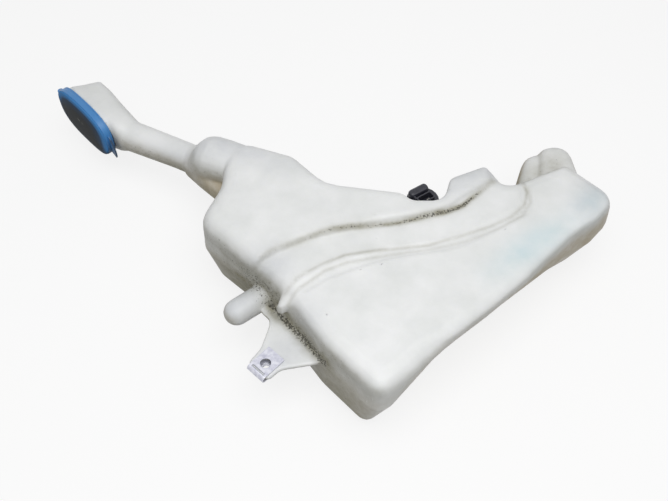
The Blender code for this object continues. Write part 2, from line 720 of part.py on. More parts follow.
def pull_tab(name):
    """Thin tab that flares out from the skirt at the lid's free end, longer towards one side."""
    length, height = MOUTH_HALF_LENGTH + CAP_OVERHANG, MOUTH_HALF_HEIGHT + CAP_OVERHANG
    root_z = SKIRT_Z + TAB_ROOT
    rings = []
    for place, reach in TAB_EDGE:
        y = place * MM
        wall = length * (1 - (abs(y) / height) ** MOUTH_EXPONENT) ** (1 / MOUTH_EXPONENT)
        start, end = wall - LID_SKIRT / 2, length + reach * MM
        tip_z = root_z + (end - start) * TAB_FLARE
        rings.append([(start, y, root_z), (end, y, tip_z),
                      (end - TAB_THICKNESS / 3, y, tip_z + TAB_THICKNESS),
                      (start, y, root_z + TAB_THICKNESS)])
    return loft(name, rings)


def cap_lid(look):
    """Pan that closes over the collar, with two knuckles and the pull tab."""
    inner = CAP_OVERHANG - LID_SKIRT
    levels = [(inner, LID_CEILING), (inner, SKIRT_Z), (CAP_OVERHANG, SKIRT_Z),
              (CAP_OVERHANG, LID_TOP - LID_EDGE),
              (CAP_OVERHANG - LID_EDGE * 0.3, LID_TOP - LID_EDGE * 0.3),
              (CAP_OVERHANG - LID_EDGE, LID_TOP)]
    pan = oval_levels("cap_lid", levels)
    edge = -(MOUTH_HALF_LENGTH + CAP_OVERHANG - LID_SKIRT / 2)
    near, far = HINGE_MIDDLE_HALF + GAP, HINGE_MIDDLE_HALF + GAP + HINGE_LUG_WIDTH
    foot_low, foot_high = SKIRT_Z + GAP * 0.1, HINGE_Z + HINGE_RADIUS * 0.9
    for name, low, high in (("lid_knuckle_upper", near, far), ("lid_knuckle_lower", -far, -near)):
        pan = combined(pan, "UNION", hinge_barrel(name, low, high, foot_low, foot_high, edge))
    pan = combined(pan, "DIFFERENCE", hinge_bore("lid_bore"))
    pan = combined(pan, "UNION", pull_tab("lid_tab"))
    return finish(placed(pan, MOUTH), look)


def cap_panel(look):
    """Dark, slightly crowned plate over the lid's front."""
    edge = CAP_OVERHANG - PANEL_INSET
    levels = [(edge, PANEL_Z), (edge, PANEL_TOP - PANEL_EDGE),
              (edge - PANEL_EDGE * 0.3, PANEL_TOP - PANEL_EDGE * 0.3), (edge - PANEL_EDGE, PANEL_TOP),
              (edge - MOUTH_HALF_HEIGHT * 0.4, PANEL_TOP + PANEL_CROWN * 0.7),
              (edge - MOUTH_HALF_HEIGHT * 0.75, PANEL_TOP + PANEL_CROWN)]
    return finish(placed(oval_levels("cap_lid_panel", levels), MOUTH), look)


def cap_seal(look):
    inner = SLEEVE_OFFSET - COLLAR_SLEEVE
    profile = [(SLEEVE_OFFSET, SEAL_Z), (SLEEVE_OFFSET, SEAL_Z + SEAL_HEIGHT),
               (inner, SEAL_Z + SEAL_HEIGHT), (inner, SEAL_Z)]
    return finish(placed(oval_levels("cap_lid_seal", profile, caps=False), MOUTH), look)


def hinge_pin(look):
    reach = HINGE_MIDDLE_HALF + HINGE_LUG_WIDTH + 2 * GAP
    pin = cylinder("cap_hinge_pin", HINGE_PIN_RADIUS, -reach, reach, steps=16)
    turn = Matrix.Translation((HINGE_X, 0, HINGE_Z)) @ Matrix.Rotation(-math.pi / 2, 4, "X")
    return finish(placed(pin, MOUTH @ turn), look)


def clip_nut(look):
    """Folded sheet spring nut that clamps the ear, its thread in a drawn collar."""
    inner = EAR_THICKNESS / 2 + GAP
    outer = inner + NUT_SHEET
    fold = -NUT_LENGTH / 2
    front, back = NUT_LENGTH / 2, fold + NUT_BACK_LENGTH
    bend = [(fold + outer - outer * math.sin(math.radians(a)), outer * math.cos(math.radians(a)))
            for a in range(0, 181, 20)]
    hollow = [(fold + outer - inner * math.sin(math.radians(a)), inner * math.cos(math.radians(a)))
              for a in range(180, -1, -20)]
    outline = [(front, outer)] + bend + [(back, -outer), (back, -inner)] + hollow + [(front, inner)]
    strip = extruded("ear_clip_nut", outline, -NUT_WIDTH / 2, NUT_WIDTH / 2)
    placed(strip, Matrix.Rotation(math.pi / 2, 4, "X"))
    collar = cylinder("nut_collar", NUT_COLLAR_RADIUS, -outer - NUT_COLLAR_HEIGHT, -inner - GAP / 3, steps=24)
    strip = combined(strip, "UNION", collar)
    bore = cylinder("nut_bore", NUT_BORE_RADIUS, -outer - 2 * NUT_COLLAR_HEIGHT, 0, tool=True, steps=24)
    hole = cylinder("nut_hole", NUT_HOLE_RADIUS, 0, 2 * outer, tool=True, steps=24)
    window = box("nut_window", (NUT_WINDOW_LENGTH, NUT_WINDOW_WIDTH, 2 * outer),
                 (fold + outer + NUT_WINDOW_LENGTH / 2, 0, outer), tool=True)
    strip = combined(strip, "DIFFERENCE", bore, hole, window)
    centre = Matrix.Translation((NUT_CENTRE[0] * MM, NUT_CENTRE[1] * MM, PARTING_Z))
    return finish(placed(strip, centre @ Matrix.Rotation(math.radians(NUT_ANGLE), 4, "Z")), look)


PUMP = Matrix.Translation((PUMP_AXIS[0] * MM, PUMP_AXIS[1] * MM, 0))
BORE_IN = PUMP_RADIUS - PUMP_WALL
FLANGE_Z = LEDGE_TOP_Z + GAP
VOLUTE_Z = FLANGE_Z + GROMMET_FLANGE + GAP
CHAMBER_Z = VOLUTE_Z + VOLUTE_FLOOR
IMPELLER_Z = CHAMBER_Z + 2 * GAP
BEARING_Z = VOLUTE_TOP_Z + GAP
CAN_Z = BEARING_Z + BEARING_PLATE + GAP
CAN_RADIUS = BORE_IN - GAP
CAN_BORE = CAN_RADIUS - CAN_WALL
MAGNET_OUTER = CAN_BORE - GAP
MAGNET_INNER = MAGNET_OUTER - MAGNET_THICKNESS
MAGNET_Z = CAN_Z + CAN_WALL + MAGNET_LIFT
ARMATURE_RADIUS = MAGNET_INNER - ROTOR_AIR_GAP
COMMUTATOR_Z = MAGNET_Z + ARMATURE_HEIGHT + GAP
BRUSH_PLATE_Z = COMMUTATOR_Z + COMMUTATOR_HEIGHT + 2 * GAP
SHAFT_TOP_Z = BRUSH_PLATE_Z + BRUSH_PLATE / 2
CAP_Z = PUMP_TOP_Z + GAP
SOCKET_Z = CAP_Z + CAP_DISC


def pump_grommet(look):
    low = LEDGE_TOP_Z - WALL - GAP
    bore = SPIGOT_RADIUS + GAP
    neck_radius = LEDGE_HOLE_RADIUS - GAP
    top = FLANGE_Z + GROMMET_FLANGE
    profile = [(bore, top), (GROMMET_FLANGE_RADIUS, top), (GROMMET_FLANGE_RADIUS, FLANGE_Z),
               (neck_radius, FLANGE_Z), (neck_radius, low), (GROMMET_LIP_RADIUS, low),
               (neck_radius - GAP, low - GROMMET_LIP), (bore, low - GROMMET_LIP)]
    return finish(placed(turned("pump_grommet", profile, closed=True), PUMP), look)


def inlet_screen(look):
    """Cup on the spigot's end, slotted so that fluid enters and grit stays out."""
    inner = SPIGOT_RADIUS + GAP
    outer = inner + SCREEN_WALL
    high = SCREEN_BOTTOM_Z + SCREEN_HEIGHT
    profile = [(inner, high), (outer, high), (outer, SCREEN_BOTTOM_Z), (0, SCREEN_BOTTOM_Z),
               (0, SCREEN_BOTTOM_Z + SCREEN_WALL), (inner, SCREEN_BOTTOM_Z + SCREEN_WALL), (inner, high)]
    cup = turned("pump_inlet_screen", profile)
    low = SCREEN_BOTTOM_Z + 2 * SCREEN_WALL
    tall = SPIGOT_BOTTOM_Z - GAP - low
    for k in range(SCREEN_SLOTS // 2):
        slot = box("screen_slot", (3 * outer, SCREEN_SLOT_WIDTH, tall), (0, 0, low + tall / 2), tool=True)
        placed(slot, Matrix.Rotation(math.tau * k / SCREEN_SLOTS, 4, "Z"))
        cup = combined(cup, "DIFFERENCE", slot)
    return finish(placed(cup, PUMP), look)


def pump_volute(look):
    """Pump chamber with the inlet spigot below and the hose nipple at its side."""
    outer = PUMP_RADIUS + VOLUTE_STEP
    profile = [(CHAMBER_RADIUS, VOLUTE_TOP_Z), (outer, VOLUTE_TOP_Z), (outer, VOLUTE_Z + VOLUTE_CHAMFER),
               (outer - VOLUTE_CHAMFER, VOLUTE_Z), (SPIGOT_RADIUS, VOLUTE_Z), (SPIGOT_RADIUS, SPIGOT_BOTTOM_Z),
               (SPIGOT_BORE, SPIGOT_BOTTOM_Z), (SPIGOT_BORE, CHAMBER_Z), (CHAMBER_RADIUS, CHAMBER_Z)]
    chamber = turned("pump_volute", profile, closed=True)
    barb = NIPPLE_RADIUS + NIPPLE_BARB
    first, second = NIPPLE_REACH - BARB_PITCH, NIPPLE_REACH - 2 * BARB_PITCH
    root = CHAMBER_RADIUS + VOLUTE_CHAMFER
    stem = [(0, NIPPLE_REACH), (NIPPLE_RADIUS - NIPPLE_BARB / 2, NIPPLE_REACH), (barb, first),
            (NIPPLE_RADIUS, first - BARB_BACK), (NIPPLE_RADIUS, second), (barb, second - BARB_BACK),
            (NIPPLE_RADIUS, second - BARB_PITCH), (NIPPLE_RADIUS, root), (0, root)]
    aim = Matrix.Translation((0, 0, (VOLUTE_TOP_Z + CHAMBER_Z) / 2)) @ Matrix.Rotation(-math.pi / 2, 4, "X")
    nipple = placed(turned("volute_nipple", stem, steps=20), aim)
    way = cylinder("volute_way", NIPPLE_BORE, CHAMBER_RADIUS - 2 * VOLUTE_CHAMFER, NIPPLE_REACH + NIPPLE_BORE,
                   tool=True, steps=20)
    placed(way, aim)
    chamber = combined(chamber, "UNION", nipple)
    return finish(placed(combined(chamber, "DIFFERENCE", way), PUMP), look)


def pump_impeller(look):
    inner, floor = SHAFT_RADIUS + GAP, IMPELLER_Z + IMPELLER_DISC
    profile = [(inner, floor + VANE_HEIGHT), (IMPELLER_HUB, floor + VANE_HEIGHT), (IMPELLER_HUB, floor),
               (IMPELLER_RADIUS, floor), (IMPELLER_RADIUS, IMPELLER_Z), (inner, IMPELLER_Z)]
    disc = turned("pump_impeller", profile, closed=True)
    length = IMPELLER_RADIUS - IMPELLER_HUB * 0.7
    for k in range(IMPELLER_VANES):
        vane = box("vane", (length, VANE_THICKNESS, VANE_HEIGHT),
                   (IMPELLER_RADIUS - length / 2 - GAP, 0, floor + VANE_HEIGHT / 2 - GAP / 3))
        placed(vane, Matrix.Rotation(math.tau * k / IMPELLER_VANES, 4, "Z"))
        disc = combined(disc, "UNION", vane)
    return finish(placed(disc, PUMP), look)


def pump_shaft(look):
    shaft = cylinder("pump_shaft", SHAFT_RADIUS, IMPELLER_Z + GAP, SHAFT_TOP_Z, steps=16)
    return finish(placed(shaft, PUMP), look)


def bearing_plate(look):
    """Plate between the wet chamber and the motor, bored for the shaft seal."""
    outer, inner = BORE_IN + PUMP_WALL - GAP, SEAL_RADIUS + GAP
    top = BEARING_Z + BEARING_PLATE
    profile = [(inner, top), (BORE_IN - GAP, top), (BORE_IN - GAP, BEARING_Z + BEARING_PLATE / 2),
               (outer, BEARING_Z + BEARING_PLATE / 2), (outer, BEARING_Z), (inner, BEARING_Z)]
    return finish(placed(turned("pump_bearing_plate", profile, closed=True), PUMP), look)


def shaft_seal(look):
    inner = SHAFT_RADIUS + GAP
    top = BEARING_Z + BEARING_PLATE
    profile = [(inner, top), (SEAL_RADIUS, top), (SEAL_RADIUS, BEARING_Z), (inner, BEARING_Z)]
    return finish(placed(turned("pump_shaft_seal", profile, closed=True, steps=24), PUMP), look)


def pump_housing(look):
    """Outer sleeve around the motor."""
    low = BEARING_Z + BEARING_PLATE / 2 + GAP
    profile = [(BORE_IN, PUMP_TOP_Z), (PUMP_RADIUS, PUMP_TOP_Z), (PUMP_RADIUS, low), (BORE_IN, low)]
    return finish(placed(turned("pump_housing", profile, closed=True), PUMP), look)


def motor_can(look):
    top = CAN_Z + CAN_HEIGHT
    profile = [(CAN_BORE, top), (CAN_RADIUS, top), (CAN_RADIUS, CAN_Z), (SHAFT_RADIUS + GAP, CAN_Z),
               (SHAFT_RADIUS + GAP, CAN_Z + CAN_WALL), (CAN_BORE, CAN_Z + CAN_WALL)]
    return finish(placed(turned("pump_motor_can", profile, closed=True), PUMP), look)


def magnet(name, centre_angle, look):
    half = math.radians(MAGNET_SPAN / 2)
    steps = 8
    angles = [centre_angle - half + 2 * half * k / steps for k in range(steps + 1)]
    outline = [(MAGNET_OUTER * math.cos(a), MAGNET_OUTER * math.sin(a)) for a in angles]
    outline += [(MAGNET_INNER * math.cos(a), MAGNET_INNER * math.sin(a)) for a in reversed(angles)]
    return finish(placed(extruded(name, outline, MAGNET_Z, MAGNET_Z + MAGNET_HEIGHT), PUMP), look)


def armature(look):
    """Slotted iron core on the shaft."""
    outline = []
    pitch = math.tau / ARMATURE_SLOTS
    inner, hub, lip = SHAFT_RADIUS + GAP, ARMATURE_RADIUS * 0.45, ARMATURE_RADIUS * 0.82
    for k in range(ARMATURE_SLOTS):
        start = k * pitch
        for part in (0.1, 0.3, 0.5, 0.7, 0.9):
            outline.append((ARMATURE_RADIUS * math.cos(start + pitch * part),
                            ARMATURE_RADIUS * math.sin(start + pitch * part)))
        for radius, part in ((lip, 0.9), (hub, 0.7), (hub, 1.3), (lip, 1.1)):
            outline.append((radius * math.cos(start + pitch * part), radius * math.sin(start + pitch * part)))
    core = extruded("pump_armature", outline, MAGNET_Z, COMMUTATOR_Z - GAP)
    bore = cylinder("armature_bore", inner, MAGNET_Z - GAP, COMMUTATOR_Z, tool=True, steps=16)
    return finish(placed(combined(core, "DIFFERENCE", bore), PUMP), look)


def commutator(look):
    low, top, inner = COMMUTATOR_Z, COMMUTATOR_Z + COMMUTATOR_HEIGHT, SHAFT_RADIUS + GAP
    profile = [(inner, top), (COMMUTATOR_RADIUS, top), (COMMUTATOR_RADIUS, low), (inner, low)]
    return finish(placed(turned("pump_commutator", profile, closed=True, steps=24), PUMP), look)


def brush(name, side, look):
    start, end = COMMUTATOR_RADIUS + GAP, MAGNET_INNER - GAP
    block = box(name, (end - start, BRUSH_SIZE, BRUSH_SIZE),
                (side * (start + end) / 2, 0, BRUSH_PLATE_Z - GAP - BRUSH_SIZE / 2))
    return finish(placed(block, PUMP), look)


def brush_holder(look):
    top, inner = BRUSH_PLATE_Z + BRUSH_PLATE, SHAFT_RADIUS + GAP
    outer = CAN_BORE - GAP
    profile = [(inner, top), (outer, top), (outer, BRUSH_PLATE_Z), (inner, BRUSH_PLATE_Z)]
    return finish(placed(turned("pump_brush_holder", profile, closed=True), PUMP), look)


SOCKET = PUMP @ Matrix.Rotation(math.radians(SOCKET_ANGLE), 4, "Z")


def rounded_box(half_length, half_width, radius, shift=0.0):
    corners = [(half_length, shift - half_width), (half_length, shift + half_width),
               (-half_length, shift + half_width), (-half_length, shift - half_width)]
    return filleted([(x / MM, y / MM, radius / MM, 0) for x, y in corners], arc_step=INNER_ARC_STEP)


def pump_top_cap(look):
    """Lid of the motor with its hump, the plug socket beside it and a rib across them."""
    disc = turned("pump_top_cap", [
        (0, SOCKET_Z), (PUMP_RADIUS - CAP_DISC / 4, SOCKET_Z), (PUMP_RADIUS, SOCKET_Z - CAP_DISC / 4),
        (PUMP_RADIUS, CAP_Z), (BORE_IN - GAP, CAP_Z), (BORE_IN - GAP, CAP_Z - CAP_SPIGOT),
        (0, CAP_Z - CAP_SPIGOT)])
    half_length, half_width = SOCKET_LENGTH / 2, SOCKET_WIDTH / 2
    top, base = SOCKET_Z + SOCKET_HEIGHT, SOCKET_Z - CAP_DISC / 2
    outline = rounded_box(half_length + SOCKET_WALL, half_width + SOCKET_WALL, SOCKET_FILLET, SOCKET_SHIFT)
    shroud = extruded("cap_shroud", outline, base, top)
    inside = rounded_box(half_length, half_width, SOCKET_FILLET / 2, SOCKET_SHIFT)
    room = extruded("cap_room", inside, SOCKET_Z, top + CAP_DISC, tool=True)
    disc = combined(disc, "UNION", combined(shroud, "DIFFERENCE", room))
    rings = []
    for inset, z in ((0.0, base), (0.0, SOCKET_Z + HUMP_HEIGHT - HUMP_ROUND),
                     (HUMP_ROUND * 0.3, SOCKET_Z + HUMP_HEIGHT - HUMP_ROUND * 0.3),
                     (HUMP_ROUND, SOCKET_Z + HUMP_HEIGHT)):
        outline = rounded_box(HUMP_HALF_LENGTH - inset, HUMP_HALF_WIDTH - inset, HUMP_FILLET - inset,
                              HUMP_SHIFT)
        rings.append([(p.x, p.y, z) for p in outline])
    disc = combined(disc, "UNION", loft("cap_hump", rings))
    rib_start, rib_end = SOCKET_SHIFT + half_width + SOCKET_WALL / 2, HUMP_SHIFT
    middle = (-half_length - SOCKET_WALL / 2, (rib_start + rib_end) / 2,
              SOCKET_Z + RIB_HEIGHT / 2 - CAP_DISC / 4)
    rib = box("cap_rib", (RIB_THICKNESS, rib_end - rib_start, RIB_HEIGHT + CAP_DISC / 2), middle)
    disc = combined(disc, "UNION", rib)
    for k in (-1, 1):
        slot = box("cap_slot", (TERMINAL_WIDTH + 2 * GAP, TERMINAL_SHEET + 2 * GAP, 4 * CAP_DISC),
                   (k * TERMINAL_SPACING / 2, SOCKET_SHIFT, SOCKET_Z - CAP_DISC), tool=True)
        disc = combined(disc, "DIFFERENCE", slot)
    return finish(placed(disc, SOCKET), look)


def terminal(name, side, look):
    low, high = CAP_Z - CAP_SPIGOT - 2 * GAP, SOCKET_Z + TERMINAL_HEIGHT
    blade = box(name, (TERMINAL_WIDTH, TERMINAL_SHEET, high - low),
                (side * TERMINAL_SPACING / 2, SOCKET_SHIFT, (low + high) / 2))
    return finish(placed(blade, SOCKET), look)


LOOKS = {
    "tank_plastic": material("tank_plastic", (0.78, 0.80, 0.82), 0.45),
    "cap_blue": material("cap_blue", (0.07, 0.27, 0.58), 0.35),
    "cap_black": material("cap_black", (0.010, 0.014, 0.018), 0.5),
    "pump_black": material("pump_black", (0.015, 0.015, 0.017), 0.45),
    "rubber": material("rubber", (0.02, 0.02, 0.02), 0.8),
    "spring_steel": material("spring_steel", (0.45, 0.43, 0.40), 0.4, 1.0),
    "pin_steel": material("pin_steel", (0.60, 0.60, 0.60), 0.3, 1.0),
    "can_steel": material("can_steel", (0.50, 0.50, 0.52), 0.35, 1.0),
    "ferrite": material("ferrite", (0.06, 0.06, 0.06), 0.7),
    "core_steel": material("core_steel", (0.30, 0.30, 0.31), 0.5, 1.0),
    "copper": material("copper", (0.72, 0.38, 0.22), 0.35, 1.0),
    "carbon": material("carbon", (0.03, 0.03, 0.03), 0.7),
    "tin": material("tin", (0.70, 0.70, 0.68), 0.3, 1.0),
    "impeller_plastic": material("impeller_plastic", (0.65, 0.65, 0.60), 0.5),
}

PIECES = [
    tank_shell(LOOKS["tank_plastic"]),
    cap_collar(LOOKS["cap_blue"]),
    clip_nut(LOOKS["spring_steel"]),
    pump_grommet(LOOKS["rubber"]),
    inlet_screen(LOOKS["impeller_plastic"]),
    pump_volute(LOOKS["pump_black"]),
    bearing_plate(LOOKS["pump_black"]),
    shaft_seal(LOOKS["rubber"]),
    pump_housing(LOOKS["pump_black"]),
    motor_can(LOOKS["can_steel"]),
    magnet("pump_magnet_1", 0, LOOKS["ferrite"]),
    magnet("pump_magnet_2", math.pi, LOOKS["ferrite"]),
    brush("pump_brush_1", 1, LOOKS["carbon"]),
    brush("pump_brush_2", -1, LOOKS["carbon"]),
    brush_holder(LOOKS["pump_black"]),
    pump_top_cap(LOOKS["pump_black"]),
    terminal("pump_terminal_1", 1, LOOKS["tin"]),
    terminal("pump_terminal_2", -1, LOOKS["tin"]),
]
CAP_PIECES = [
    cap_lid(LOOKS["cap_blue"]),
    cap_panel(LOOKS["cap_black"]),
    cap_seal(LOOKS["rubber"]),
    hinge_pin(LOOKS["pin_steel"]),
]
ROTOR_PIECES = [
    pump_shaft(LOOKS["pin_steel"]),
    armature(LOOKS["core_steel"]),
    commutator(LOOKS["copper"]),
    pump_impeller(LOOKS["impeller_plastic"]),
]


def empty(name, matrix):
    item = bpy.data.objects.new(name, None)
    item.empty_display_size = PUMP_RADIUS
    item.matrix_world = matrix
    PARTS.objects.link(item)
    return item


def hold(parent, pieces):
    for piece in pieces:
        piece.parent = parent
        piece.matrix_parent_inverse = parent.matrix_world.inverted()


def main():
    """Put the moving pieces on their axes and the origin under the middle."""
    corners = [piece.matrix_world @ Vector(corner) for piece in PIECES + CAP_PIECES + ROTOR_PIECES
               for corner in piece.bound_box]
    middle = [(min(c[i] for c in corners) + max(c[i] for c in corners)) / 2 for i in (0, 1)]
    base = empty("reservoir_frame", Matrix.Identity(4))
    hinge = empty("cap_hinge_axis", MOUTH @ Matrix.Translation((HINGE_X, 0, HINGE_Z)))
    rotor = empty("pump_rotor_axis", PUMP @ Matrix.Translation((0, 0, CHAMBER_Z)))
    bpy.context.view_layer.update()
    hold(hinge, CAP_PIECES)
    hold(rotor, ROTOR_PIECES)
    hold(base, PIECES + [hinge, rotor])
    base.location = (-middle[0], -middle[1], 0)


main()
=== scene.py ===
"""Looks of a washer fluid reservoir: a blow-moulded tank, its hinged filler cap, a spring nut and a pump.

The object lies on its flat back, as the photograph shows it. Places are in millimetres on the tank's plan.
"""
import json
import math

import bmesh
import bpy
import numpy as np
from mathutils import Matrix, Vector

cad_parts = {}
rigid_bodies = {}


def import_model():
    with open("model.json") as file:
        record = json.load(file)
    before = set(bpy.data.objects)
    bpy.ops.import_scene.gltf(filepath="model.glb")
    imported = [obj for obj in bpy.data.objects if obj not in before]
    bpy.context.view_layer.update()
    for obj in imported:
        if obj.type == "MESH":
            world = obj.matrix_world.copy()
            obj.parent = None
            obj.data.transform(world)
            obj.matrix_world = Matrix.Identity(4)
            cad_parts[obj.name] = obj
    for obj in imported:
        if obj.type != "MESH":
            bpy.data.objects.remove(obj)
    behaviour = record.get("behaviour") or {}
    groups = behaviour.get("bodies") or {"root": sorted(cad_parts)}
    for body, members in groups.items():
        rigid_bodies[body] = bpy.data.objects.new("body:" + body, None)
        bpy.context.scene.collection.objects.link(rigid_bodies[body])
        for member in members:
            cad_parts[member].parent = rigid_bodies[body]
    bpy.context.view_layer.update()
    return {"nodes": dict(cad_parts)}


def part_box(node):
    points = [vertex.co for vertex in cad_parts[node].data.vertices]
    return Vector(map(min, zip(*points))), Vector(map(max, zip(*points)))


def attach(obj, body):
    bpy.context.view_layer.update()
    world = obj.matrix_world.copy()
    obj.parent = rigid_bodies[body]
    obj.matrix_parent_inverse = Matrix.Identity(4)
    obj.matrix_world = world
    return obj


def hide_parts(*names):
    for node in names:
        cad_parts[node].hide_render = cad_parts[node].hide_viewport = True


for thing in list(bpy.data.objects):
    bpy.data.objects.remove(thing)
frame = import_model()

# The camera.
# It looks down from the front, 54 degrees above the floor, at the plan's origin half way up the tank.
# The pump's shaft stands at a known place of the plan and gives the origin.
MM = 0.001
MID_HEIGHT = 50
PUMP_PLACE = (75.5, 45.5)
CAMERA_HEIGHT_ANGLE = math.radians(54)
CAMERA_DISTANCE = 0.705
CAMERA_FOCUS_PIXELS = 850
PICTURE_WIDTH = 668

shaft_low, shaft_high = (Vector(corner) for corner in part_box("pump_shaft"))
ORIGIN = Vector((*((shaft_low + shaft_high) / 2).xy, 0)) - Vector((*PUMP_PLACE, 0)) * MM


def at(x, y, z):
    """A plan place in millimetres, as a point of the model in metres."""
    return ORIGIN + Vector((x, y, z)) * MM


camera_data = bpy.data.cameras.new("camera")
camera_data.lens = camera_data.sensor_width * CAMERA_FOCUS_PIXELS / PICTURE_WIDTH
camera = bpy.data.objects.new("camera", camera_data)
camera.location = at(0, 0, MID_HEIGHT) + CAMERA_DISTANCE * Vector(
    (0, -math.cos(CAMERA_HEIGHT_ANGLE), math.sin(CAMERA_HEIGHT_ANGLE)))
camera.rotation_euler = (math.pi / 2 - CAMERA_HEIGHT_ANGLE, 0, 0)
bpy.context.scene.collection.objects.link(camera)
bpy.context.scene.camera = camera

# The tank.
# One blow-moulded body of natural high-density polyethylene with a 2 mm wall: body, lobes, dome, filler
# neck, peg and ear are one piece. The wall, inside and out, is carried over from the solid and softened as
# moulding does.
WELD_DISTANCE = 1e-5
SKIN_GRAIN = 1.05 * MM
SKIN_ROUNDS = 7
SKIN_TRIANGLES = 96000
FACE_SPACING = 3 * MM
WALL_SPACING = 7 * MM
FACE_LEVEL = 70 * MM
FACE_NORMAL = 0.5
SPLIT_ROUNDS = 9
CHANNEL_END = (-43, -70, 77)
CHANNEL_END_REACH = 45
CHANNEL_END_FADE = 15
CHANNEL_END_ROUNDS = 260
MOUTH_PLACE = (-227.8, 152.4, MID_HEIGHT)
MOUTH_TURN = math.radians(-47)
MOUTH_CUT = 0.3 * MM
MOUTH_PLUG = 8 * MM
HEAD_REACH = 70 * MM
HEAD_DEPTH = 20 * MM

mouth = at(*MOUTH_PLACE)
mouth_out = Vector((math.sin(MOUTH_TURN), -math.cos(MOUTH_TURN), 0))


def read(mesh):
    """A mesh's corners and edges as arrays."""
    corners = np.empty(len(mesh.vertices) * 3)
    edges = np.empty(len(mesh.edges) * 2, int)
    mesh.vertices.foreach_get("co", corners)
    mesh.edges.foreach_get("vertices", edges)
    return corners.reshape(-1, 3), edges.reshape(-1, 2)


def softened(corners, edges, rounds):
    """Moves each corner half way to the mean of its neighbours, that many times."""
    count = np.bincount(edges.ravel(), minlength=len(corners))[:, None]
    for _ in range(rounds):
        total = np.stack([np.bincount(edges[:, 0], corners[edges[:, 1], axis], len(corners))
                          + np.bincount(edges[:, 1], corners[edges[:, 0], axis], len(corners))
                          for axis in range(3)], 1)
        corners = (corners + total / count) / 2
    return corners


def beyond_mouth_cleared(bm):
    """Cuts the head off square, just inside the mouth's rim."""
    near = [v for v in bm.verts if (v.co - mouth).length < HEAD_REACH
            and (v.co - mouth).dot(mouth_out) > -HEAD_DEPTH]
    faces = {f for v in near for f in v.link_faces}
    geometry = list({v for f in faces for v in f.verts} | {e for f in faces for e in f.edges} | faces)
    bmesh.ops.bisect_plane(bm, geom=geometry, plane_co=mouth - mouth_out * MOUTH_CUT,
                           plane_no=mouth_out, clear_outer=True)


# The wall is drawn on past the mouth while it is softened, and cut there again, so that the rim stays crisp.
solid = bmesh.new()
solid.from_mesh(frame["nodes"]["tank_shell"].data)
bmesh.ops.remove_doubles(solid, verts=solid.verts, dist=WELD_DISTANCE)
beyond_mouth_cleared(solid)
rim = [e for e in solid.edges if e.is_boundary]
drawn_on = bmesh.ops.extrude_edge_only(solid, edges=rim)["geom"]
plug = [g for g in drawn_on if isinstance(g, bmesh.types.BMVert)]
bmesh.ops.translate(solid, verts=plug, vec=mouth_out * MOUTH_PLUG)
bmesh.ops.contextual_create(solid, geom=[e for e in solid.edges if e.is_boundary])
bmesh.ops.recalc_face_normals(solid, faces=solid.faces)
walls = bpy.data.meshes.new("tank_walls")
solid.to_mesh(walls)
skin = bpy.data.objects.new("tank_skin", walls)
bpy.context.scene.collection.objects.link(skin)
remesh = skin.modifiers.new("grain", "REMESH")
remesh.mode = "VOXEL"
remesh.voxel_size = SKIN_GRAIN
fine = bpy.data.meshes.new_from_object(skin.evaluated_get(bpy.context.evaluated_depsgraph_get()))
skin.modifiers.clear()
corners, edges = read(fine)
# The short channel end above the ear is low and soft in the moulding: more rounds there, fading out.
softer = softened(corners, edges, SKIN_ROUNDS)
apart = np.linalg.norm((softer - np.array(at(*CHANNEL_END))) / MM, axis=1)
near = np.flatnonzero(apart < CHANNEL_END_REACH)
rank = np.full(len(softer), -1)
rank[near] = np.arange(len(near))
near_edges = rank[edges]
softest = softened(softer[near], near_edges[(near_edges >= 0).all(1)], CHANNEL_END_ROUNDS)
softer[near] += (softest - softer[near]) * np.exp(-(apart[near] / CHANNEL_END_FADE) ** 2)[:, None]
fine.vertices.foreach_set("co", softer.ravel())
skin.data = fine
thinned = skin.modifiers.new("thinned", "DECIMATE")
thinned.ratio = SKIN_TRIANGLES / (2 * len(fine.polygons))
fine = bpy.data.meshes.new_from_object(skin.evaluated_get(bpy.context.evaluated_depsgraph_get()))
skin.modifiers.clear()

body = bmesh.new()
body.from_mesh(fine)
beyond_mouth_cleared(body)
bmesh.ops.bridge_loops(body, edges=[e for e in body.edges if e.is_boundary])
bmesh.ops.recalc_face_normals(body, faces=body.faces)
# Flat parts get corners too, close enough for the marks that are laid down on them further on.
for _ in range(SPLIT_ROUNDS):
    body.normal_update()
    split = []
    for edge in body.edges:
        corner = edge.verts[0]
        on_top = corner.normal.z > FACE_NORMAL and corner.co.z > FACE_LEVEL
        if edge.calc_length() > (FACE_SPACING if on_top else WALL_SPACING):
            split.append(edge)
    if not split:
        break
    bmesh.ops.subdivide_edges(body, edges=split, cuts=1)
    bmesh.ops.triangulate(body, faces=[f for f in body.faces if len(f.verts) > 3])
body.to_mesh(fine)
fine.polygons.foreach_set("use_smooth", np.ones(len(fine.polygons), bool))
skin.data = fine


def linear(colour):
    """An sRGB hex colour as the linear red, green, blue and alpha that a node takes."""
    parts = [int(colour[i:i + 2], 16) / 255 for i in (0, 2, 4)]
    return (*(c / 12.92 if c < 0.04045 else ((c + 0.055) / 1.055) ** 2.4 for c in parts), 1)


def material(name):
    """A new material, its node tree and the inputs of its Principled shader."""
    made = bpy.data.materials.new(name)
    made.use_nodes = True
    return made, made.node_tree, made.node_tree.nodes["Principled BSDF"].inputs


def add(tree, kind, links=None, values=None, **settings):
    """Adds a node with its settings, socket values and the sockets that feed it."""
    made = tree.nodes.new(kind)
    for name, value in settings.items():
        setattr(made, name, value)
    for socket, value in (values or {}).items():
        made.inputs[socket].default_value = value
    for socket, source in (links or {}).items():
        tree.links.new(source, made.inputs[socket])
    return made


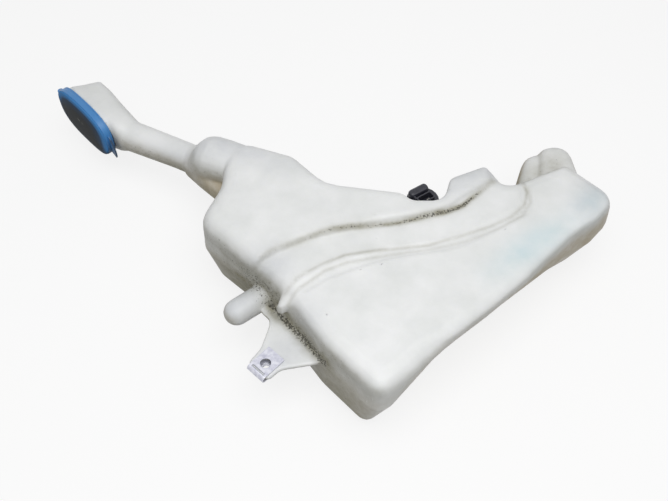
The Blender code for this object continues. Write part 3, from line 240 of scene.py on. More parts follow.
# Years under a bonnet have left their marks, laid down here on the skin as fields from 0 to 1, some of them
# mixed with painted shade: road grime along every ledge and on the walls, which also carry painted shade,
# brown stains where water stood, with painted shade in the recess by the neck and down the walls, black
# specks in the crevices, the pale blue of the last washer fluid behind the wall, and a lilac-grey bloom
# where hands and hoses have rubbed.
# Each line is a row of plan places, with the strength of the mark at each.
STEP_FOOT = [(-56, -28, 0.35), (-44, -18, 0.4), (-19, -6, 0.5), (-1, 1, 0.7), (15, 4, 0.75),
             (35, 6, 0.75), (53, 8, 0.85), (80, 15, 1), (92, 18, 1.15), (105, 24, 1.1), (116, 34, 0.8),
             (125, 42, 0.5), (133, 50, 0.4)]
GROOVE_UPPER = [(-37, -61, 0.6), (-26, -49, 0.6), (-10, -38, 0.8), (9, -29, 1), (35, -24, 1),
                (44, -23, 0.8), (74, -19, 0.8), (100, -10, 0.7), (125, 0, 0.7), (142, 9, 0.7),
                (155, 22, 0.8), (159, 35, 1), (157, 46, 1)]
GROOVE_LOWER = [(-35, -69, 0.8), (-26, -59, 0.8), (-7, -43, 1), (11, -35, 0.8), (44, -28, 0.6),
                (75, -23, 0.5), (104, -15, 0.5), (130, -3, 0.6), (152, 11, 0.7), (160, 24, 0.7),
                (160, 41, 0.5)]
EAR_JOINT = [(-49, -56, 0.8), (-41, -66, 1), (-28, -81, 1), (-20, -91, 1), (-12, -101, 1),
             (-6, -109, 0.8)]
LEFT_FOOT = [(-92, -8, 0.3), (-86, -15, 0.6), (-75, -27, 0.9), (-64, -39, 1), (-52, -50, 1),
             (-44, -60, 1)]
BOTTOM_SEAM = [(-9, -108, 1), (5, -118, 1), (12, -124, 0.8), (21, -137, 0.8), (28, -143, 0.6),
               (34, -143, 0.3)]
RECESS = [(-116, 84, 0.7), (-110, 77, 1), (-103, 67, 1), (-94, 57, 0.9), (-86, 50, 0.5)]
LEFT_CORNER = [(-86, 6, 0.4), (-80, -8, 0.8), (-70, -20, 1), (-58, -33, 1), (-50, -44, 0.8),
               (-46, -58, 0.7)]
REAR_LOBE = [(158, 56, 1), (172, 66, 0.9), (186, 72, 1), (203, 82, 0.5)]
HANDLED = [[(-48, -38, 1), (-78, -61, 1)],
           [(-24, -86, 0.7), (-55, -112, 1)],
           [(92, 38, 0.7), (128, 62, 1)],
           [(-150, 96, 0.6), (-90, 84, 0.9), (-40, 60, 0.4)],
           [(205, 20, 0.7), (222, 45, 0.8)]]
NECK_SEAM = [(-189, 110, 0.7), (-165, 101, 0.5), (-128, 86, 0.8)]
LONG_EDGE = [(104, -58, 0), (129, -40, 0.5), (146, -25, 1), (165, -12, 1), (185, 2, 0.5), (209, 24, 0.8),
             (219, 34, 0.6)]


def near_line(plan, points, width):
    """exp(-(d / width)^2) of the distance d from a line on the plan, times the line's strength there."""
    value = np.zeros(len(plan))
    for (x0, y0, s0), (x1, y1, s1) in zip(points, points[1:]):
        start, along = np.array((x0, y0)), np.array((x1 - x0, y1 - y0))
        share = np.clip((plan - start) @ along / (along @ along), 0, 1)
        distance = np.linalg.norm(plan - start - share[:, None] * along, axis=1)
        value = np.maximum(value, (s0 + (s1 - s0) * share) * np.exp(-(distance / width) ** 2))
    return value


def ramp(value, low, high):
    """Smooth step from 0 at low to 1 at high, which may be the smaller."""
    share = np.clip((value - low) / (high - low), 0, 1)
    return share * share * (3 - 2 * share)


def painted(mesh, name, value):
    """Lays values from 0 to 1 down on a mesh's corners, as a field that its material reads."""
    layer = mesh.attributes.new(name, "FLOAT", "POINT")
    layer.data.foreach_set("value", np.clip(value, 0, 1).astype(np.float32))


# The mould's halves meet at the top edge of the long wall, not at mid height as elsewhere, so that edge
# overhangs: the skin is drawn out there by up to 9 mm, above mid height, and by less at the very top.
OVERHANG = [(40, -150, 0), (62, -118, 0.55), (84, -92, 1), (110, -68, 1), (140, -44, 0.8),
            (170, -22, 0.35), (196, -2, 0)]
OVERHANG_REACH = 9
OVERHANG_WIDTH = 26
OVERHANG_HEIGHTS = (48, 74)
OVERHANG_TURN = math.radians(-51)
VERY_TOP = (78, 84)
skin_corners, _ = read(fine)
places = (skin_corners - np.array(ORIGIN)) / MM
outward = near_line(places[:, :2], OVERHANG, OVERHANG_WIDTH) * ramp(places[:, 2], *OVERHANG_HEIGHTS)
outward -= 0.2 * ramp(outward, 0, 1) * ramp(places[:, 2], *VERY_TOP)
overhang_way = np.array((math.cos(OVERHANG_TURN), math.sin(OVERHANG_TURN)))
skin_corners[:, :2] += outward[:, None] * OVERHANG_REACH * MM * overhang_way
# The step across the face sags by up to 4.5 mm in its left half.
STEP_SAG = [(-56, -28, 0.6), (-40, -18, 1), (-19, -6, 1), (15, 4, 1), (35, 6, 0.8), (60, 9, 0.6),
            (92, 18, 0.3), (105, 24, 0)]
SAG_REACH = 4.5
SAG_WIDTH = 15
SAG_HEIGHTS = (70, 80)
sag = SAG_REACH * near_line(places[:, :2], STEP_SAG, SAG_WIDTH) * ramp(places[:, 2], *SAG_HEIGHTS)
skin_corners[:, 1] -= sag * MM
fine.vertices.foreach_set("co", skin_corners.ravel())
fine.update()
skin_normals = np.empty(len(fine.vertices) * 3)
fine.vertices.foreach_get("normal", skin_normals)
skin_normals = skin_normals.reshape(-1, 3)
places = (skin_corners - np.array(ORIGIN)) / MM
plan, height = places[:, :2], places[:, 2]
x = plan[:, 0]
# Where dirt gathers and where shade is painted: upright walls, the raised face, what is low down, and what
# faces left and to the front.
upright = ramp(skin_normals[:, 2], 0.85, 0.25)
on_face = ramp(height, 62, 74)
low_down = ramp(height, 78, 40)
leftward = ramp(-skin_normals[:, 0] - 0.4 * skin_normals[:, 1], 0.0, 0.8)
front_left = leftward * ramp(x, 60, 0)

# The dirt of the step lies on its riser, 2.6 mm in front of the line of its foot, and sags with it. A term
# of the sums below is a strength, the heights between which it comes in or goes, and a line with its width,
# in millimetres. Grime carries painted shade as well as dirt: a veil of painted shade on the upright walls,
# darker to the front-left, low down, near the floor, in the top-left corner and on the rear lobe, with thin
# dark lines of dirt along the step, the grooves and joints.
RISER_SHIFT = 2.6
JOINT_FROM = (46, 51)
foot_plan = plan + np.stack((0 * sag, RISER_SHIFT + sag), 1)
# Painted shade: the upright walls are darker, most to the front-left and low down, and darker near the
# floor.
grime_and_shade = 0.16 * upright + 0.32 * upright * front_left * low_down
grime_and_shade += 0.20 * ramp(height, 22, 2) * upright
grime_and_shade = np.maximum(grime_and_shade, 1.0 * on_face * near_line(foot_plan, STEP_FOOT, 2.6))
grime_and_shade = np.maximum(grime_and_shade, 0.50 * on_face * near_line(plan, GROOVE_UPPER, 1.5))
grime_and_shade = np.maximum(grime_and_shade, 0.42 * on_face * near_line(plan, GROOVE_LOWER, 1.5))
grime_and_shade += 0.07 * on_face * near_line(plan, GROOVE_UPPER, 7)
grime_and_shade += 0.14 * on_face * near_line(foot_plan, STEP_FOOT, 7)
grime_and_shade += 0.95 * ramp(height, *JOINT_FROM) * ramp(height, 72, 56) * near_line(plan, EAR_JOINT, 4.5)
# Dirt mixed with painted shade on the left and front-left walls and on the top-left corner's rounding.
grime_and_shade += 0.50 * low_down * near_line(plan, LEFT_FOOT, 9)
grime_and_shade += 0.42 * ramp(height, 87, 74) * near_line(plan, LEFT_CORNER, 12)
grime_and_shade += 0.30 * ramp(height, 84, 74) * ramp(height, 60, 70) * upright * front_left
grime_and_shade += 0.45 * ramp(height, 40, 48) * ramp(height, 56, 52) * near_line(plan, NECK_SEAM, 6)
grime_and_shade += 0.18 * near_line(plan, BOTTOM_SEAM, 12) * upright
# Painted shade on the rear lobe, which slopes away from the light.
grime_and_shade += 0.50 * ramp(height, 84, 76) * near_line(plan, REAR_LOBE, 17)
# Stains are brown water marks along the neck's seam and, mixed with painted shade, in the recess beside the
# neck and down the walls, most on the right-hand walls and to the front-left.
stain_and_shade = ramp(height, 76, 62) * near_line(plan, RECESS, 11)
stain_and_shade += 0.35 * upright * front_left * ramp(height, 70, 46)
stain_and_shade += 0.30 * ramp(height, 52, 44) * near_line(plan, NECK_SEAM, 8)
stain_and_shade += 0.90 * ramp(x, 40, 90) * upright * ramp(height, 82, 60)
stain_and_shade += 0.25 * ramp(x, -20, 30) * upright * ramp(height, 74, 40)
# Specks say how dense the black stipple is: most in the ear's joint and on the riser, a little anywhere.
specks = 1.0 * on_face * near_line(foot_plan, STEP_FOOT, 2.4)
specks = np.maximum(specks, 0.40 * on_face * near_line(plan, GROOVE_UPPER, 1.5))
ear_specks = 1.2 * ramp(height, *JOINT_FROM) * ramp(height, 70, 56) * near_line(plan, EAR_JOINT, 3.2)
specks = np.maximum(specks, ear_specks)
specks = np.maximum(specks, 0.42 * ramp(height, 86, 78) * near_line(plan, LEFT_CORNER, 7))
specks = np.maximum(specks, 0.72 * ramp(height, 84, 68) * near_line(plan, LEFT_FOOT, 12))
specks = np.maximum(specks, 0.35 * near_line(plan, RECESS, 9))
specks = np.maximum(specks, 0.48 * upright * front_left)
specks = np.maximum(specks, 0.5 * ramp(height, 86, 78) * near_line(plan, REAR_LOBE, 6))
specks = np.maximum(specks, 0.06)
fluid = ramp(height, 30, 76) * near_line(plan, LONG_EDGE, 12)
bloom = np.max([near_line(plan, line, 15) for line in HANDLED], axis=0)
painted(fine, "grime_and_shade", grime_and_shade)
painted(fine, "stain_and_shade", stain_and_shade)
painted(fine, "specks", specks)
painted(fine, "fluid", fluid)
painted(fine, "bloom", bloom)

# Natural polyethylene, blown in a sand-blasted mould: a milky white that lets some light in, with a soft
# satin shine and a fine, even grain about a millimetre across. Grime and the painted shade sit in clouds 5
# to
# 40 mm wide, and grime in its finest form as a stipple; the pinched parting line runs round at mid height as
# a ridge under 1 mm.
polyethylene, tree, shader = material("natural_polyethylene")
place = add(tree, "ShaderNodeTexCoord").outputs["Object"]


def shade(kind, links=None, values=None, **settings):
    """Adds a node to the tree of the material at hand, and gives its first output."""
    return add(tree, kind, links, values, **settings).outputs[0]


def math_of(operation, *terms):
    """A Math node on sockets and numbers."""
    made = add(tree, "ShaderNodeMath", operation=operation)
    for i, term in enumerate(terms):
        if isinstance(term, (int, float)):
            made.inputs[i].default_value = term
        else:
            tree.links.new(term, made.inputs[i])
    return made.outputs[0]


def mixed_colour(share, below, above):
    """One colour over another by a share."""
    made = add(tree, "ShaderNodeMix", data_type="RGBA")
    tree.links.new(share, made.inputs["Factor"])
    for socket, colour in (("A", below), ("B", above)):
        if isinstance(colour, tuple):
            made.inputs[socket].default_value = colour
        else:
            tree.links.new(colour, made.inputs[socket])
    return made.outputs["Result"]


def field(name):
    """A field laid down on the mesh, as a socket."""
    return add(tree, "ShaderNodeAttribute", attribute_name=name).outputs["Fac"]


clouds = shade("ShaderNodeTexNoise", {"Vector": place}, {"Scale": 26, "Detail": 8, "Roughness": 0.62})
patches = shade("ShaderNodeTexNoise", {"Vector": place}, {"Scale": 110, "Detail": 6, "Roughness": 0.65})
stipple = shade("ShaderNodeTexNoise", {"Vector": place}, {"Scale": 700, "Detail": 3, "Roughness": 0.7})
colour = mixed_colour(shade("ShaderNodeMapRange", {"Value": clouds}, {"From Min": 0.35, "From Max": 0.68}),
                      linear("EBECEC"), linear("DEE0DF"))
patchy = shade("ShaderNodeMapRange", {"Value": clouds},
               {"From Min": 0.30, "From Max": 0.66, "To Min": 0.22, "To Max": 0.72})
colour = mixed_colour(math_of("MULTIPLY", field("fluid"), patchy), colour, linear("C0D8DE"))
rubbed_share = math_of("ADD", 0.12, math_of("MULTIPLY", patches, 0.5))
colour = mixed_colour(math_of("MULTIPLY", field("bloom"), rubbed_share), colour, linear("AEB2BB"))
patchiness = math_of("ADD", math_of("MULTIPLY", clouds, 0.5), math_of("MULTIPLY", patches, 1.1))
grimy_and_shaded = math_of("MULTIPLY", field("grime_and_shade"), patchiness)
stained_and_shaded = math_of("MULTIPLY", field("stain_and_shade"), patchiness)
# Brown: water marks, and painted shade in the recess by the neck and on the walls.
colour = mixed_colour(math_of("MINIMUM", stained_and_shaded, 0.85), colour, linear("B0A183"))
# Dark grime: dirt along the ledges and joints, and painted shade on the walls.
colour = mixed_colour(math_of("MINIMUM", grimy_and_shaded, 0.9), colour, linear("8C8873"))
level = math_of("SUBTRACT", 0.80, math_of("MULTIPLY", field("specks"), 0.33))
dots = shade("ShaderNodeMapRange", {"Value": math_of("SUBTRACT", stipple, level)},
             {"From Min": 0.0, "From Max": 0.035})
colour = mixed_colour(math_of("MULTIPLY", dots, 0.88), colour, linear("3B3932"))
tree.links.new(colour, shader["Base Color"])

up = add(tree, "ShaderNodeSeparateXYZ", {0: place}).outputs["Z"]
level_apart = math_of("ABSOLUTE", math_of("SUBTRACT", up, MID_HEIGHT * MM))
ridge = shade("ShaderNodeMapRange", {"Value": level_apart}, {"From Min": 0.0009, "From Max": 0.0002})
grain = shade("ShaderNodeTexNoise", {"Vector": place}, {"Scale": 900, "Detail": 2})
dents = shade("ShaderNodeTexNoise", {"Vector": place}, {"Scale": 38, "Detail": 3, "Roughness": 0.5})
relief = math_of("ADD", math_of("MULTIPLY", grain, 0.06),
                 math_of("ADD", math_of("MULTIPLY", ridge, 0.5), math_of("MULTIPLY", dents, 0.8)))
bump = add(tree, "ShaderNodeBump", {"Height": relief}, {"Strength": 0.5, "Distance": 0.0008})
tree.links.new(bump.outputs["Normal"], shader["Normal"])
dull = shade("ShaderNodeMapRange", {"Value": grimy_and_shaded},
             {"From Min": 0.0, "From Max": 0.6, "To Min": 0.44, "To Max": 0.75})
tree.links.new(dull, shader["Roughness"])
shader["IOR"].default_value = 1.52
shader["Subsurface Weight"].default_value = 0.12
shader["Subsurface Radius"].default_value = (0.006, 0.006, 0.005)
skin.data.materials.clear()
skin.data.materials.append(polyethylene)
skin.data.polygons.foreach_set("material_index", np.zeros(len(skin.data.polygons), np.int32))
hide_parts("tank_shell")
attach(skin, "tank")

# The filler cap.
# A moulded lid of sky-blue polypropylene closes the oval mouth. It snaps over a collar in the mouth, turns
# on a pin through three knuckles at its far end and has a thin pull tab at its near end. Its middle is dark.
MOUTH_HALVES = (37.2, 22.5)
MOUTH_POWER = 2.8
OVAL_STEPS = 160
CREASE_ANGLE = math.radians(50)
SAME_PLACE = 1e-6
NO_LENGTH = 1e-7
KNUCKLE_PLACE = (-44.1, 2.4)
KNUCKLE_RADIUS = 2.8
LEAF_END = -38.5

mouth_frame = Matrix(((math.cos(MOUTH_TURN), 0, mouth_out.x, mouth.x),
                      (math.sin(MOUTH_TURN), 0, mouth_out.y, mouth.y),
                      (0, 1, 0, mouth.z),
                      (0, 0, 0, 1)))


def eased(points, radius, wrapped=False):
    """Rounds corners by (1-t)^2 a + 2t(1-t) corner + t^2 b, with a and b a radius before and after."""
    points = [np.array(point, float) for point in points]
    result = []
    for i, corner in enumerate(points):
        if not wrapped and i in (0, len(points) - 1):
            result.append(corner)
            continue
        ends = []
        for other in (points[i - 1], points[(i + 1) % len(points)]):
            away = other - corner
            length = np.linalg.norm(away)
            ends.append(corner + away * min(radius / length, 0.5))
        for t in np.linspace(0, 1, 5):
            result.append((1 - t) ** 2 * ends[0] + 2 * t * (1 - t) * corner + t * t * ends[1])
    return result


def surface(name, parts, frame_of, body, nodes, look):
    """One smooth piece from parts of (rows of points in millimetres, whether the last meets the first)."""
    bm = bmesh.new()
    for rows, wrapped in parts:
        grid = [[bm.verts.new(Vector(point) * MM) for point in row] for row in rows]
        for one, two in zip(grid, grid[1:] + grid[:1] if wrapped else grid[1:]):
            for i in range(len(one)):
                j = (i + 1) % len(one)
                bm.faces.new((one[i], one[j], two[j], two[i]))
    bmesh.ops.remove_doubles(bm, verts=bm.verts, dist=SAME_PLACE)
    bmesh.ops.dissolve_degenerate(bm, edges=bm.edges, dist=NO_LENGTH)
    bmesh.ops.recalc_face_normals(bm, faces=bm.faces)
    bm.transform(frame_of)
    mesh = bpy.data.meshes.new(name)
    bm.to_mesh(mesh)
    mesh.polygons.foreach_set("use_smooth", np.ones(len(mesh.polygons), bool))
    mesh.set_sharp_from_angle(angle=CREASE_ANGLE)
    piece = bpy.data.objects.new(name, mesh)
    bpy.context.scene.collection.objects.link(piece)
    mesh.materials.append(look)
    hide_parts(*nodes)
    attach(piece, body)
    return piece


def oval_row(offset, z, share=1.0):
    """Superellipse |x/a|^p + |y/b|^p = 1, its halves grown by an offset and shrunk to a share."""
    turns = np.linspace(0, math.tau, OVAL_STEPS, endpoint=False)
    c, s = np.cos(turns), np.sin(turns)
    x = np.sign(c) * np.abs(c) ** (2 / MOUTH_POWER) * (MOUTH_HALVES[0] + offset) * share
    y = np.sign(s) * np.abs(s) ** (2 / MOUTH_POWER) * (MOUTH_HALVES[1] + offset) * share
    return np.stack((x, y, np.full_like(x, z)), 1)


def ring_rows(radius_places, steps=40):
    """Turned profile of (radius, height): (r cos t, r sin t, z)."""
    turns = np.linspace(0, math.tau, steps, endpoint=False)
    return [np.stack((r * np.cos(turns), r * np.sin(turns), np.full(steps, z)), 1) for r, z in radius_places]


def knuckle(low, high):
    """A barrel about the hinge line, along y, with eased ends."""
    profile = eased([(0, low), (KNUCKLE_RADIUS, low), (KNUCKLE_RADIUS, high), (0, high)], 0.5)
    rows = []
    for row in ring_rows(profile):
        rows.append(np.stack((row[:, 0] + KNUCKLE_PLACE[0], row[:, 2], row[:, 1] + KNUCKLE_PLACE[1]), 1))
    return rows


def block(x0, x1, y0, y1, z0, z1, ease=0.4):
    """A box whose edges along z are eased, as rows from one end to the other."""
    outline = eased([(x0, y0), (x1, y0), (x1, y1), (x0, y1)], ease, wrapped=True)
    rows = []
    for share, z in ((0, z0), (1, z0), (1, z1), (0, z1)):
        middle = np.array(((x0 + x1) / 2, (y0 + y1) / 2))
        rows.append(np.array([(*(middle + (point - middle) * share), z) for point in outline]))
    return rows


# Sky-blue polypropylene: a satin moulding whose colour is painted dark away from the light, as shade mixed
# with road film. The painted shade and film are thickest on the underside, along the joint and on the pull
# tab; fine scratches run 2 to 10 mm long.
blue_look, tree, shader = material("blue_polypropylene")
place = add(tree, "ShaderNodeTexCoord").outputs["Object"]
mottle = shade("ShaderNodeTexNoise", {"Vector": place}, {"Scale": 120, "Detail": 6, "Roughness": 0.6})
up = add(tree, "ShaderNodeSeparateXYZ", {0: place}).outputs["Z"]
# Painted shade: the blue darkens from 58 mm down to 36 mm high.
shade_by_height = shade("ShaderNodeMapRange", {"Value": up}, {"From Min": 0.058, "From Max": 0.036},
                    interpolation_type="SMOOTHSTEP")
shade_and_film = math_of("MULTIPLY", shade_by_height, math_of("ADD", 0.55, math_of("MULTIPLY", mottle, 0.6)))
colour = mixed_colour(mottle, linear("4B8CC8"), linear("3C7CBA"))
shade_and_film = math_of("MAXIMUM", shade_and_film, field("shadowed"))
colour = mixed_colour(math_of("MINIMUM", shade_and_film, 0.95), colour, linear("1B2A3C"))
tree.links.new(colour, shader["Base Color"])
streaks = add(tree, "ShaderNodeMapping", {"Vector": place}, {"Scale": (200, 900, 200)})
scratches = shade("ShaderNodeTexNoise", {"Vector": streaks.outputs[0]}, {"Scale": 1.0, "Detail": 3})
bump = add(tree, "ShaderNodeBump", {"Height": scratches}, {"Strength": 0.15, "Distance": 0.0002})
tree.links.new(bump.outputs["Normal"], shader["Normal"])
rough = shade("ShaderNodeMapRange", {"Value": shade_and_film}, {"To Min": 0.36, "To Max": 0.62})
tree.links.new(rough, shader["Roughness"])

# A profile is (offset from the mouth's oval, height above its plane). The lid's ceiling is at 5 mm, its
# skirt comes down to 1.9 mm and its top is at 7.2 mm. The tab starts 11.5 mm below the middle of the lid's
# end, is 20.5 mm wide, stands out by up to 10.2 mm and falls back upwards, and rises by 12% of its reach.
LID_CEILING, LID_SKIRT, LID_TOP = 5.0, 1.9, 7.2
LID_HALVES = (39.1, 24.4)
LID_PROFILE = [(-1, LID_CEILING), (0.2, LID_CEILING), (0.2, LID_SKIRT), (1.7, LID_SKIRT), (1.9, LID_SKIRT),
               (1.9, 2.1), (1.9, 6.9), (1.5, LID_TOP), (-1, LID_TOP)]
LID_LEAF = (2.2, 4.8)
TAB_START, TAB_WIDTH, TAB_REACH = -11.5, 20.5, 10.2
TAB_UNDER, TAB_OVER, TAB_RISE, TAB_ROOT = 3.3, 4.5, 0.12, 0.9
TAB_SHADE = (39.6, 41.5)
lid_rows = [oval_row(offset, z) for offset, z in eased(LID_PROFILE, 0.5)]
lid_rows = [oval_row(0, LID_CEILING, 0)] + lid_rows + [oval_row(0, LID_TOP, 0)]
tab_rows = []
for t in np.linspace(0, 1, 9):
    along = TAB_START + TAB_WIDTH * t
    reach = LID_HALVES[0] + TAB_REACH - 8.6 * t ** 2.6 - 1.6 * (1 - t) ** 4
    wall = LID_HALVES[0] * (1 - (abs(along) / LID_HALVES[1]) ** MOUTH_POWER) ** (1 / MOUTH_POWER)
    wall -= TAB_ROOT
    lift = (reach - wall) * TAB_RISE
    outline = eased([(wall, TAB_UNDER), (reach, TAB_UNDER + lift), (reach - 0.4, TAB_OVER + lift),
                     (wall, TAB_OVER)], 0.3, wrapped=True)
    tab_rows.append(np.array([(px, along, pz) for px, pz in outline]))
ends = [np.repeat(row.mean(0)[None], len(row), 0) for row in (tab_rows[0], tab_rows[-1])]
lid_parts = [lid_rows, knuckle(2.5, 6.9), knuckle(-6.9, -2.5),
             block(KNUCKLE_PLACE[0], LEAF_END, 2.6, 6.8, *LID_LEAF),
             block(KNUCKLE_PLACE[0], LEAF_END, -6.8, -2.6, *LID_LEAF),
             [ends[0]] + tab_rows + [ends[1]]]
lid = surface("lid", [(rows, False) for rows in lid_parts], mouth_frame, "cap", ["cap_lid"],
              blue_look)


def in_mouth_frame(piece):
    """A piece's corners in the mouth's own frame, in millimetres."""
    corners, _ = read(piece.data)
    padded = np.append(corners, np.ones((len(corners), 1)), 1)
    return (np.array(mouth_frame.inverted()) @ padded.T).T[:, :3] / MM


# The tab is painted dark as shade, from just outside the lid's wall.
painted(lid.data, "shadowed", 0.9 * ramp(in_mouth_frame(lid)[:, 0], *TAB_SHADE))
COLLAR_PROFILE = [(1.9, 0.3), (1.9, 1.65), (1.9, 1.8), (-2.3, 1.8), (-2.3, 3.4), (-3.9, 3.4), (-3.9, -4),
                  (-2.3, -4), (-2.3, 0.3)]
COLLAR_LEAF = (0.4, 1.7)
collar_rows = [oval_row(offset, z) for offset, z in eased(COLLAR_PROFILE, 0.3, wrapped=True)]
collar_leaf = block(KNUCKLE_PLACE[0], LEAF_END, -2.1, 2.1, *COLLAR_LEAF)
surface("collar", [(collar_rows, True), (knuckle(-2.2, 2.2), False), (collar_leaf, False)], mouth_frame,
        "tank", ["cap_collar"], blue_look)

# Dark, road-filmed middle of the lid: matt black-blue under a brown-green dust in clouds 3 to 10 mm wide,
# with the blue of the rim painted in as light on the outer 4 mm of the side that faces up, and two rubbed
# specks.
panel_look, tree, shader = material("filmed_black_plastic")
place = add(tree, "ShaderNodeTexCoord").outputs["Object"]
dust = shade("ShaderNodeTexNoise", {"Vector": place}, {"Scale": 160, "Detail": 7, "Roughness": 0.65})
dust_share = shade("ShaderNodeMapRange", {"Value": dust}, {"From Min": 0.42, "From Max": 0.75})
colour = mixed_colour(dust_share, linear("0F1318"), linear("1D1F1C"))
# Painted light: the blue rim, strong on the side that faces up.
colour = mixed_colour(field("rim"), colour, linear("4380BB"))
colour = mixed_colour(field("rubbed"), colour, linear("8D8F8C"))
tree.links.new(colour, shader["Base Color"])
bump = add(tree, "ShaderNodeBump", {"Height": dust}, {"Strength": 0.25, "Distance": 0.0004})
tree.links.new(bump.outputs["Normal"], shader["Normal"])
shader["Roughness"].default_value = 0.7
shader["Specular IOR Level"].default_value = 0.2
PANEL_BOTTOM, PANEL_TOP, PANEL_CROWN, PANEL_INSET = 7.22, 9.05, 0.8, -1.5
PANEL_PROFILE = [(-0.6, PANEL_BOTTOM), (1.5, PANEL_BOTTOM), (1.5, 7.4), (1.3, 8.6), (PANEL_INSET, PANEL_TOP)]
PANEL_HALVES = (37.9, 23.2)
RUBBED_SPECKS = ((-3, 2.5, 0.8, 1.2), (2.2, 2, 0.6, 0.9))
rows = [oval_row(0, PANEL_BOTTOM, 0)] + [oval_row(offset, z) for offset, z in eased(PANEL_PROFILE, 1.1)]
rows += [oval_row(PANEL_INSET, PANEL_TOP + PANEL_CROWN * (1 - share ** 2), share)
         for share in np.linspace(0.955, 0, 14)]
panel = surface("lid_panel", [(rows, False)], mouth_frame, "cap", ["cap_lid_panel"], panel_look)
along, across = in_mouth_frame(panel)[:, :2].T
share = (np.abs(along / PANEL_HALVES[0]) ** MOUTH_POWER
         + np.abs(across / PANEL_HALVES[1]) ** MOUTH_POWER) ** (1 / MOUTH_POWER)
# The side that faces up gets the painted light of the blue rim.
upper = ramp(across + 0.25 * along, -8, 6)
lit_rim_share = ramp(share, 0.80, 0.97) * (0.12 + 0.88 * upper) + 0.12 * ramp(share, 0.4, 0.9) * upper
rubbed = sum(strength * np.exp(-((along - px) ** 2 + (across - py) ** 2) / spread)
             for px, py, strength, spread in RUBBED_SPECKS)
painted(panel.data, "rim", lit_rim_share)
painted(panel.data, "rubbed", rubbed)

# The pieces below keep their solids' shape. Each gets its material, and most get the small rounding that a
# mould or a tumbled press part has on its edges.
EDGE_ANGLE = math.radians(35)


def finished(nodes, look, ease=0.0):
    """Gives nodes their material, and their sharp edges a rounding in millimetres."""
    for name in nodes:
        node = frame["nodes"][name]
        node.data.materials.clear()
        node.data.materials.append(look)
        if ease:
            weld = node.modifiers.new("weld", "WELD")
            weld.merge_threshold = WELD_DISTANCE
            round_edges = node.modifiers.new("round_edges", "BEVEL")
            round_edges.width = ease * MM
            round_edges.segments = 2
            round_edges.limit_method = "ANGLE"
            round_edges.angle_limit = EDGE_ANGLE
            round_edges.harden_normals = True


def patterned(name, one, two, scale, rough, metallic=0.0, relief=0.0, stretch=(1, 1, 1)):
    """Two colours mixed by a noise of a scale per metre, which also lifts the surface (relief in mm)."""
    look, tree, shader = material(name)
    place = add(tree, "ShaderNodeTexCoord").outputs["Object"]
    drawn = add(tree, "ShaderNodeMapping", {"Vector": place}, {"Scale": stretch})
    noise = add(tree, "ShaderNodeTexNoise", {"Vector": drawn.outputs[0]}, {"Scale": scale, "Detail": 5})
    share = add(tree, "ShaderNodeMapRange", {"Value": noise.outputs["Fac"]},
                {"From Min": 0.35, "From Max": 0.65})
    tint = add(tree, "ShaderNodeMix", {"Factor": share.outputs[0]}, {"A": linear(one), "B": linear(two)},
               data_type="RGBA")
    tree.links.new(tint.outputs["Result"], shader["Base Color"])
    level = add(tree, "ShaderNodeMapRange", {"Value": noise.outputs["Fac"]},
                {"To Min": rough - 0.08, "To Max": rough + 0.08})
    tree.links.new(level.outputs[0], shader["Roughness"])
    lifted = add(tree, "ShaderNodeBump", {"Height": noise.outputs["Fac"]},
                 {"Strength": 0.4, "Distance": relief * MM})
    tree.links.new(lifted.outputs["Normal"], shader["Normal"])
    shader["Metallic"].default_value = metallic
    return look


# The cap's gasket and pin.
# A soft ring lies under the lid and seals on the collar; a ground steel pin carries the hinge's knuckles.
# The rubber is matt with a dusty bloom in clouds of 5 mm; the pin is ground round and slightly tarnished.
epdm = patterned("epdm_rubber", "191A1A", "262624", 200, 0.72, relief=0.05)
ground_steel = patterned("ground_steel", "A9AAAC", "8F9092", 900, 0.32, 1.0, 0.01, (1, 1, 0.1))
finished(["cap_lid_seal"], epdm)
finished(["cap_hinge_pin"], ground_steel)

# The spring nut.
# A sheet-steel clip is folded over the ear, with a drawn, threaded collar around the screw's hole and a slot
# in the fold. Its zinc coat is bright and bluish, with dull clouds 1 to 3 mm wide where it has weathered.
zinc = patterned("zinc_coated_steel", "DADBE4", "B4B5C4", 260, 0.33, 0.7, 0.04)
finished(["ear_clip_nut"], zinc, 0.12)

# The pump's outside.
# Housing, chamber, bearing plate and top with its plug socket are black glass-filled nylon: satin, with a
# faint flow pattern and road film in clouds of 3 mm. The grommet is rubber, and the blades are tinned.
nylon = patterned("glass_filled_nylon", "20212B", "2C2D37", 330, 0.42, relief=0.05)
finished(["pump_top_cap"], nylon, 0.35)
finished(["pump_housing", "pump_volute", "pump_bearing_plate", "pump_brush_holder"], nylon, 0.2)
finished(["pump_grommet", "pump_shaft_seal"], epdm)
tinned = patterned("tinned_brass", "D0CFC8", "B9B7AE", 700, 0.3, 1.0, 0.01)
finished(["pump_terminal_1", "pump_terminal_2"], tinned, 0.1)

# The motor and the wheel inside.
# A drawn can holds two sintered magnets. Stacked core sheets and a copper commutator turn on a ground shaft
# between two carbon blocks, and drive a wheel moulded, like the inlet's screen, of natural acetal.
can = patterned("drawn_can_steel", "B4B4B2", "9B9B99", 300, 0.34, 1.0, 0.02, (1, 1, 0.15))
ferrite = patterned("sintered_ferrite", "333336", "44444A", 900, 0.62, relief=0.04)
sheets = patterned("core_sheet_steel", "77777A", "4E4E52", 400, 0.46, 1.0, 0.2, (0.02, 0.02, 5))
copper = patterned("turned_copper", "C98558", "A8643E", 600, 0.3, 1.0, 0.03, (0.1, 0.1, 3))
carbon = patterned("pressed_carbon", "242424", "303032", 1400, 0.6, relief=0.03)
acetal = patterned("natural_acetal", "E6E2D4", "D8D3C2", 150, 0.42, relief=0.02)
finished(["pump_motor_can"], can, 0.15)
finished(["pump_magnet_1", "pump_magnet_2"], ferrite, 0.15)
finished(["pump_brush_1", "pump_brush_2"], carbon, 0.1)
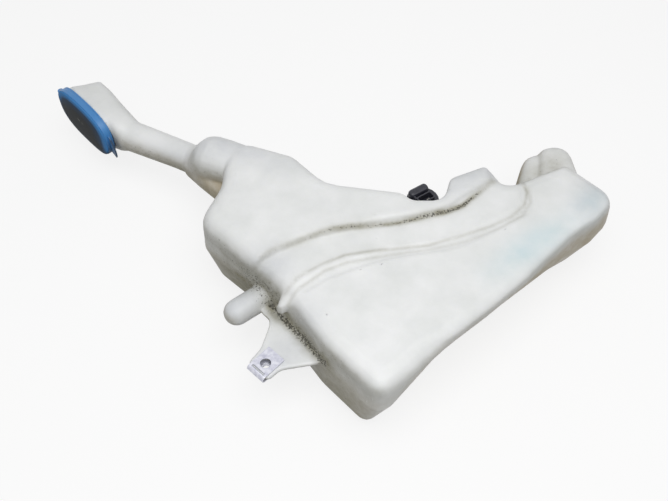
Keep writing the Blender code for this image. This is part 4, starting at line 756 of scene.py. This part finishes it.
finished(["pump_shaft"], ground_steel)
finished(["pump_armature"], sheets)
finished(["pump_commutator"], copper)
finished(["pump_impeller", "pump_inlet_screen"], acetal, 0.1)

# The floor and the light.
# A wide white sheet lies under the object in a bright white room, so that soft light comes from all sides.
# One round lamp, 0.8 m across, hangs high up, a little in front, and gives the forms their shade and shine.
FLOOR_HALF = 6
FLOOR_DROP = 0.5 * MM
LAMP_WAY = Vector((0.06, -0.26, 0.86))
floor_mesh = bpy.data.meshes.new("floor")
floor_corners = [(x * FLOOR_HALF, y * FLOOR_HALF, 0) for x, y in ((-1, -1), (1, -1), (1, 1), (-1, 1))]
floor_mesh.from_pydata(floor_corners, [], [(0, 1, 2, 3)])
floor = bpy.data.objects.new("floor", floor_mesh)
floor.location.z = -FLOOR_DROP
bpy.context.scene.collection.objects.link(floor)


def seen_share(tree):
    """1 for rays from the eye, a shine or a clear piece, and 0 for light on its way to the object."""
    rays = add(tree, "ShaderNodeLightPath").outputs
    seen = rays["Is Camera Ray"]
    for kind in ("Is Glossy Ray", "Is Transmission Ray"):
        seen = add(tree, "ShaderNodeMath", {0: seen, 1: rays[kind]}, operation="MAXIMUM").outputs[0]
    return seen


# White paper: even and matt, a little brighter to the eye than the light that it throws back.
paper = bpy.data.materials.new("white_paper")
paper.use_nodes = True
tree = paper.node_tree
tree.nodes.clear()
seen = seen_share(tree)
tone = add(tree, "ShaderNodeMix", {"Factor": seen}, {"A": linear("B4B4B2"), "B": linear("F4F4F4")},
           data_type="RGBA")
card = add(tree, "ShaderNodeBsdfDiffuse", {"Color": tone.outputs["Result"]})
glow = add(tree, "ShaderNodeEmission", values={"Color": (1, 1, 1, 1), "Strength": 1.0})
share = add(tree, "ShaderNodeMath", {0: seen}, {1: 0.8}, operation="MULTIPLY")
mixed = add(tree, "ShaderNodeMixShader", {0: share.outputs[0], 1: card.outputs[0], 2: glow.outputs[0]})
add(tree, "ShaderNodeOutputMaterial", {"Surface": mixed.outputs[0]})
floor_mesh.materials.append(paper)

world = bpy.data.worlds.new("studio")
bpy.context.scene.world = world
world.use_nodes = True
tree = world.node_tree
tree.nodes.clear()
level = add(tree, "ShaderNodeMapRange", {"Value": seen_share(tree)}, {"To Min": 0.40, "To Max": 1.0})
sky = add(tree, "ShaderNodeBackground", {"Strength": level.outputs[0]}, {"Color": (1, 1, 1, 1)})
add(tree, "ShaderNodeOutputWorld", {"Surface": sky.outputs[0]})

lamp = bpy.data.lights.new("top_light", "AREA")
lamp.shape = "DISK"
lamp.size = 0.8
lamp.energy = 5.4
holder = bpy.data.objects.new("top_light", lamp)
holder.location = at(0, 0, MID_HEIGHT) + LAMP_WAY
holder.rotation_euler = (-LAMP_WAY).to_track_quat("-Z", "Y").to_euler()
bpy.context.scene.collection.objects.link(holder)

bpy.context.scene.view_settings.view_transform = "Standard"
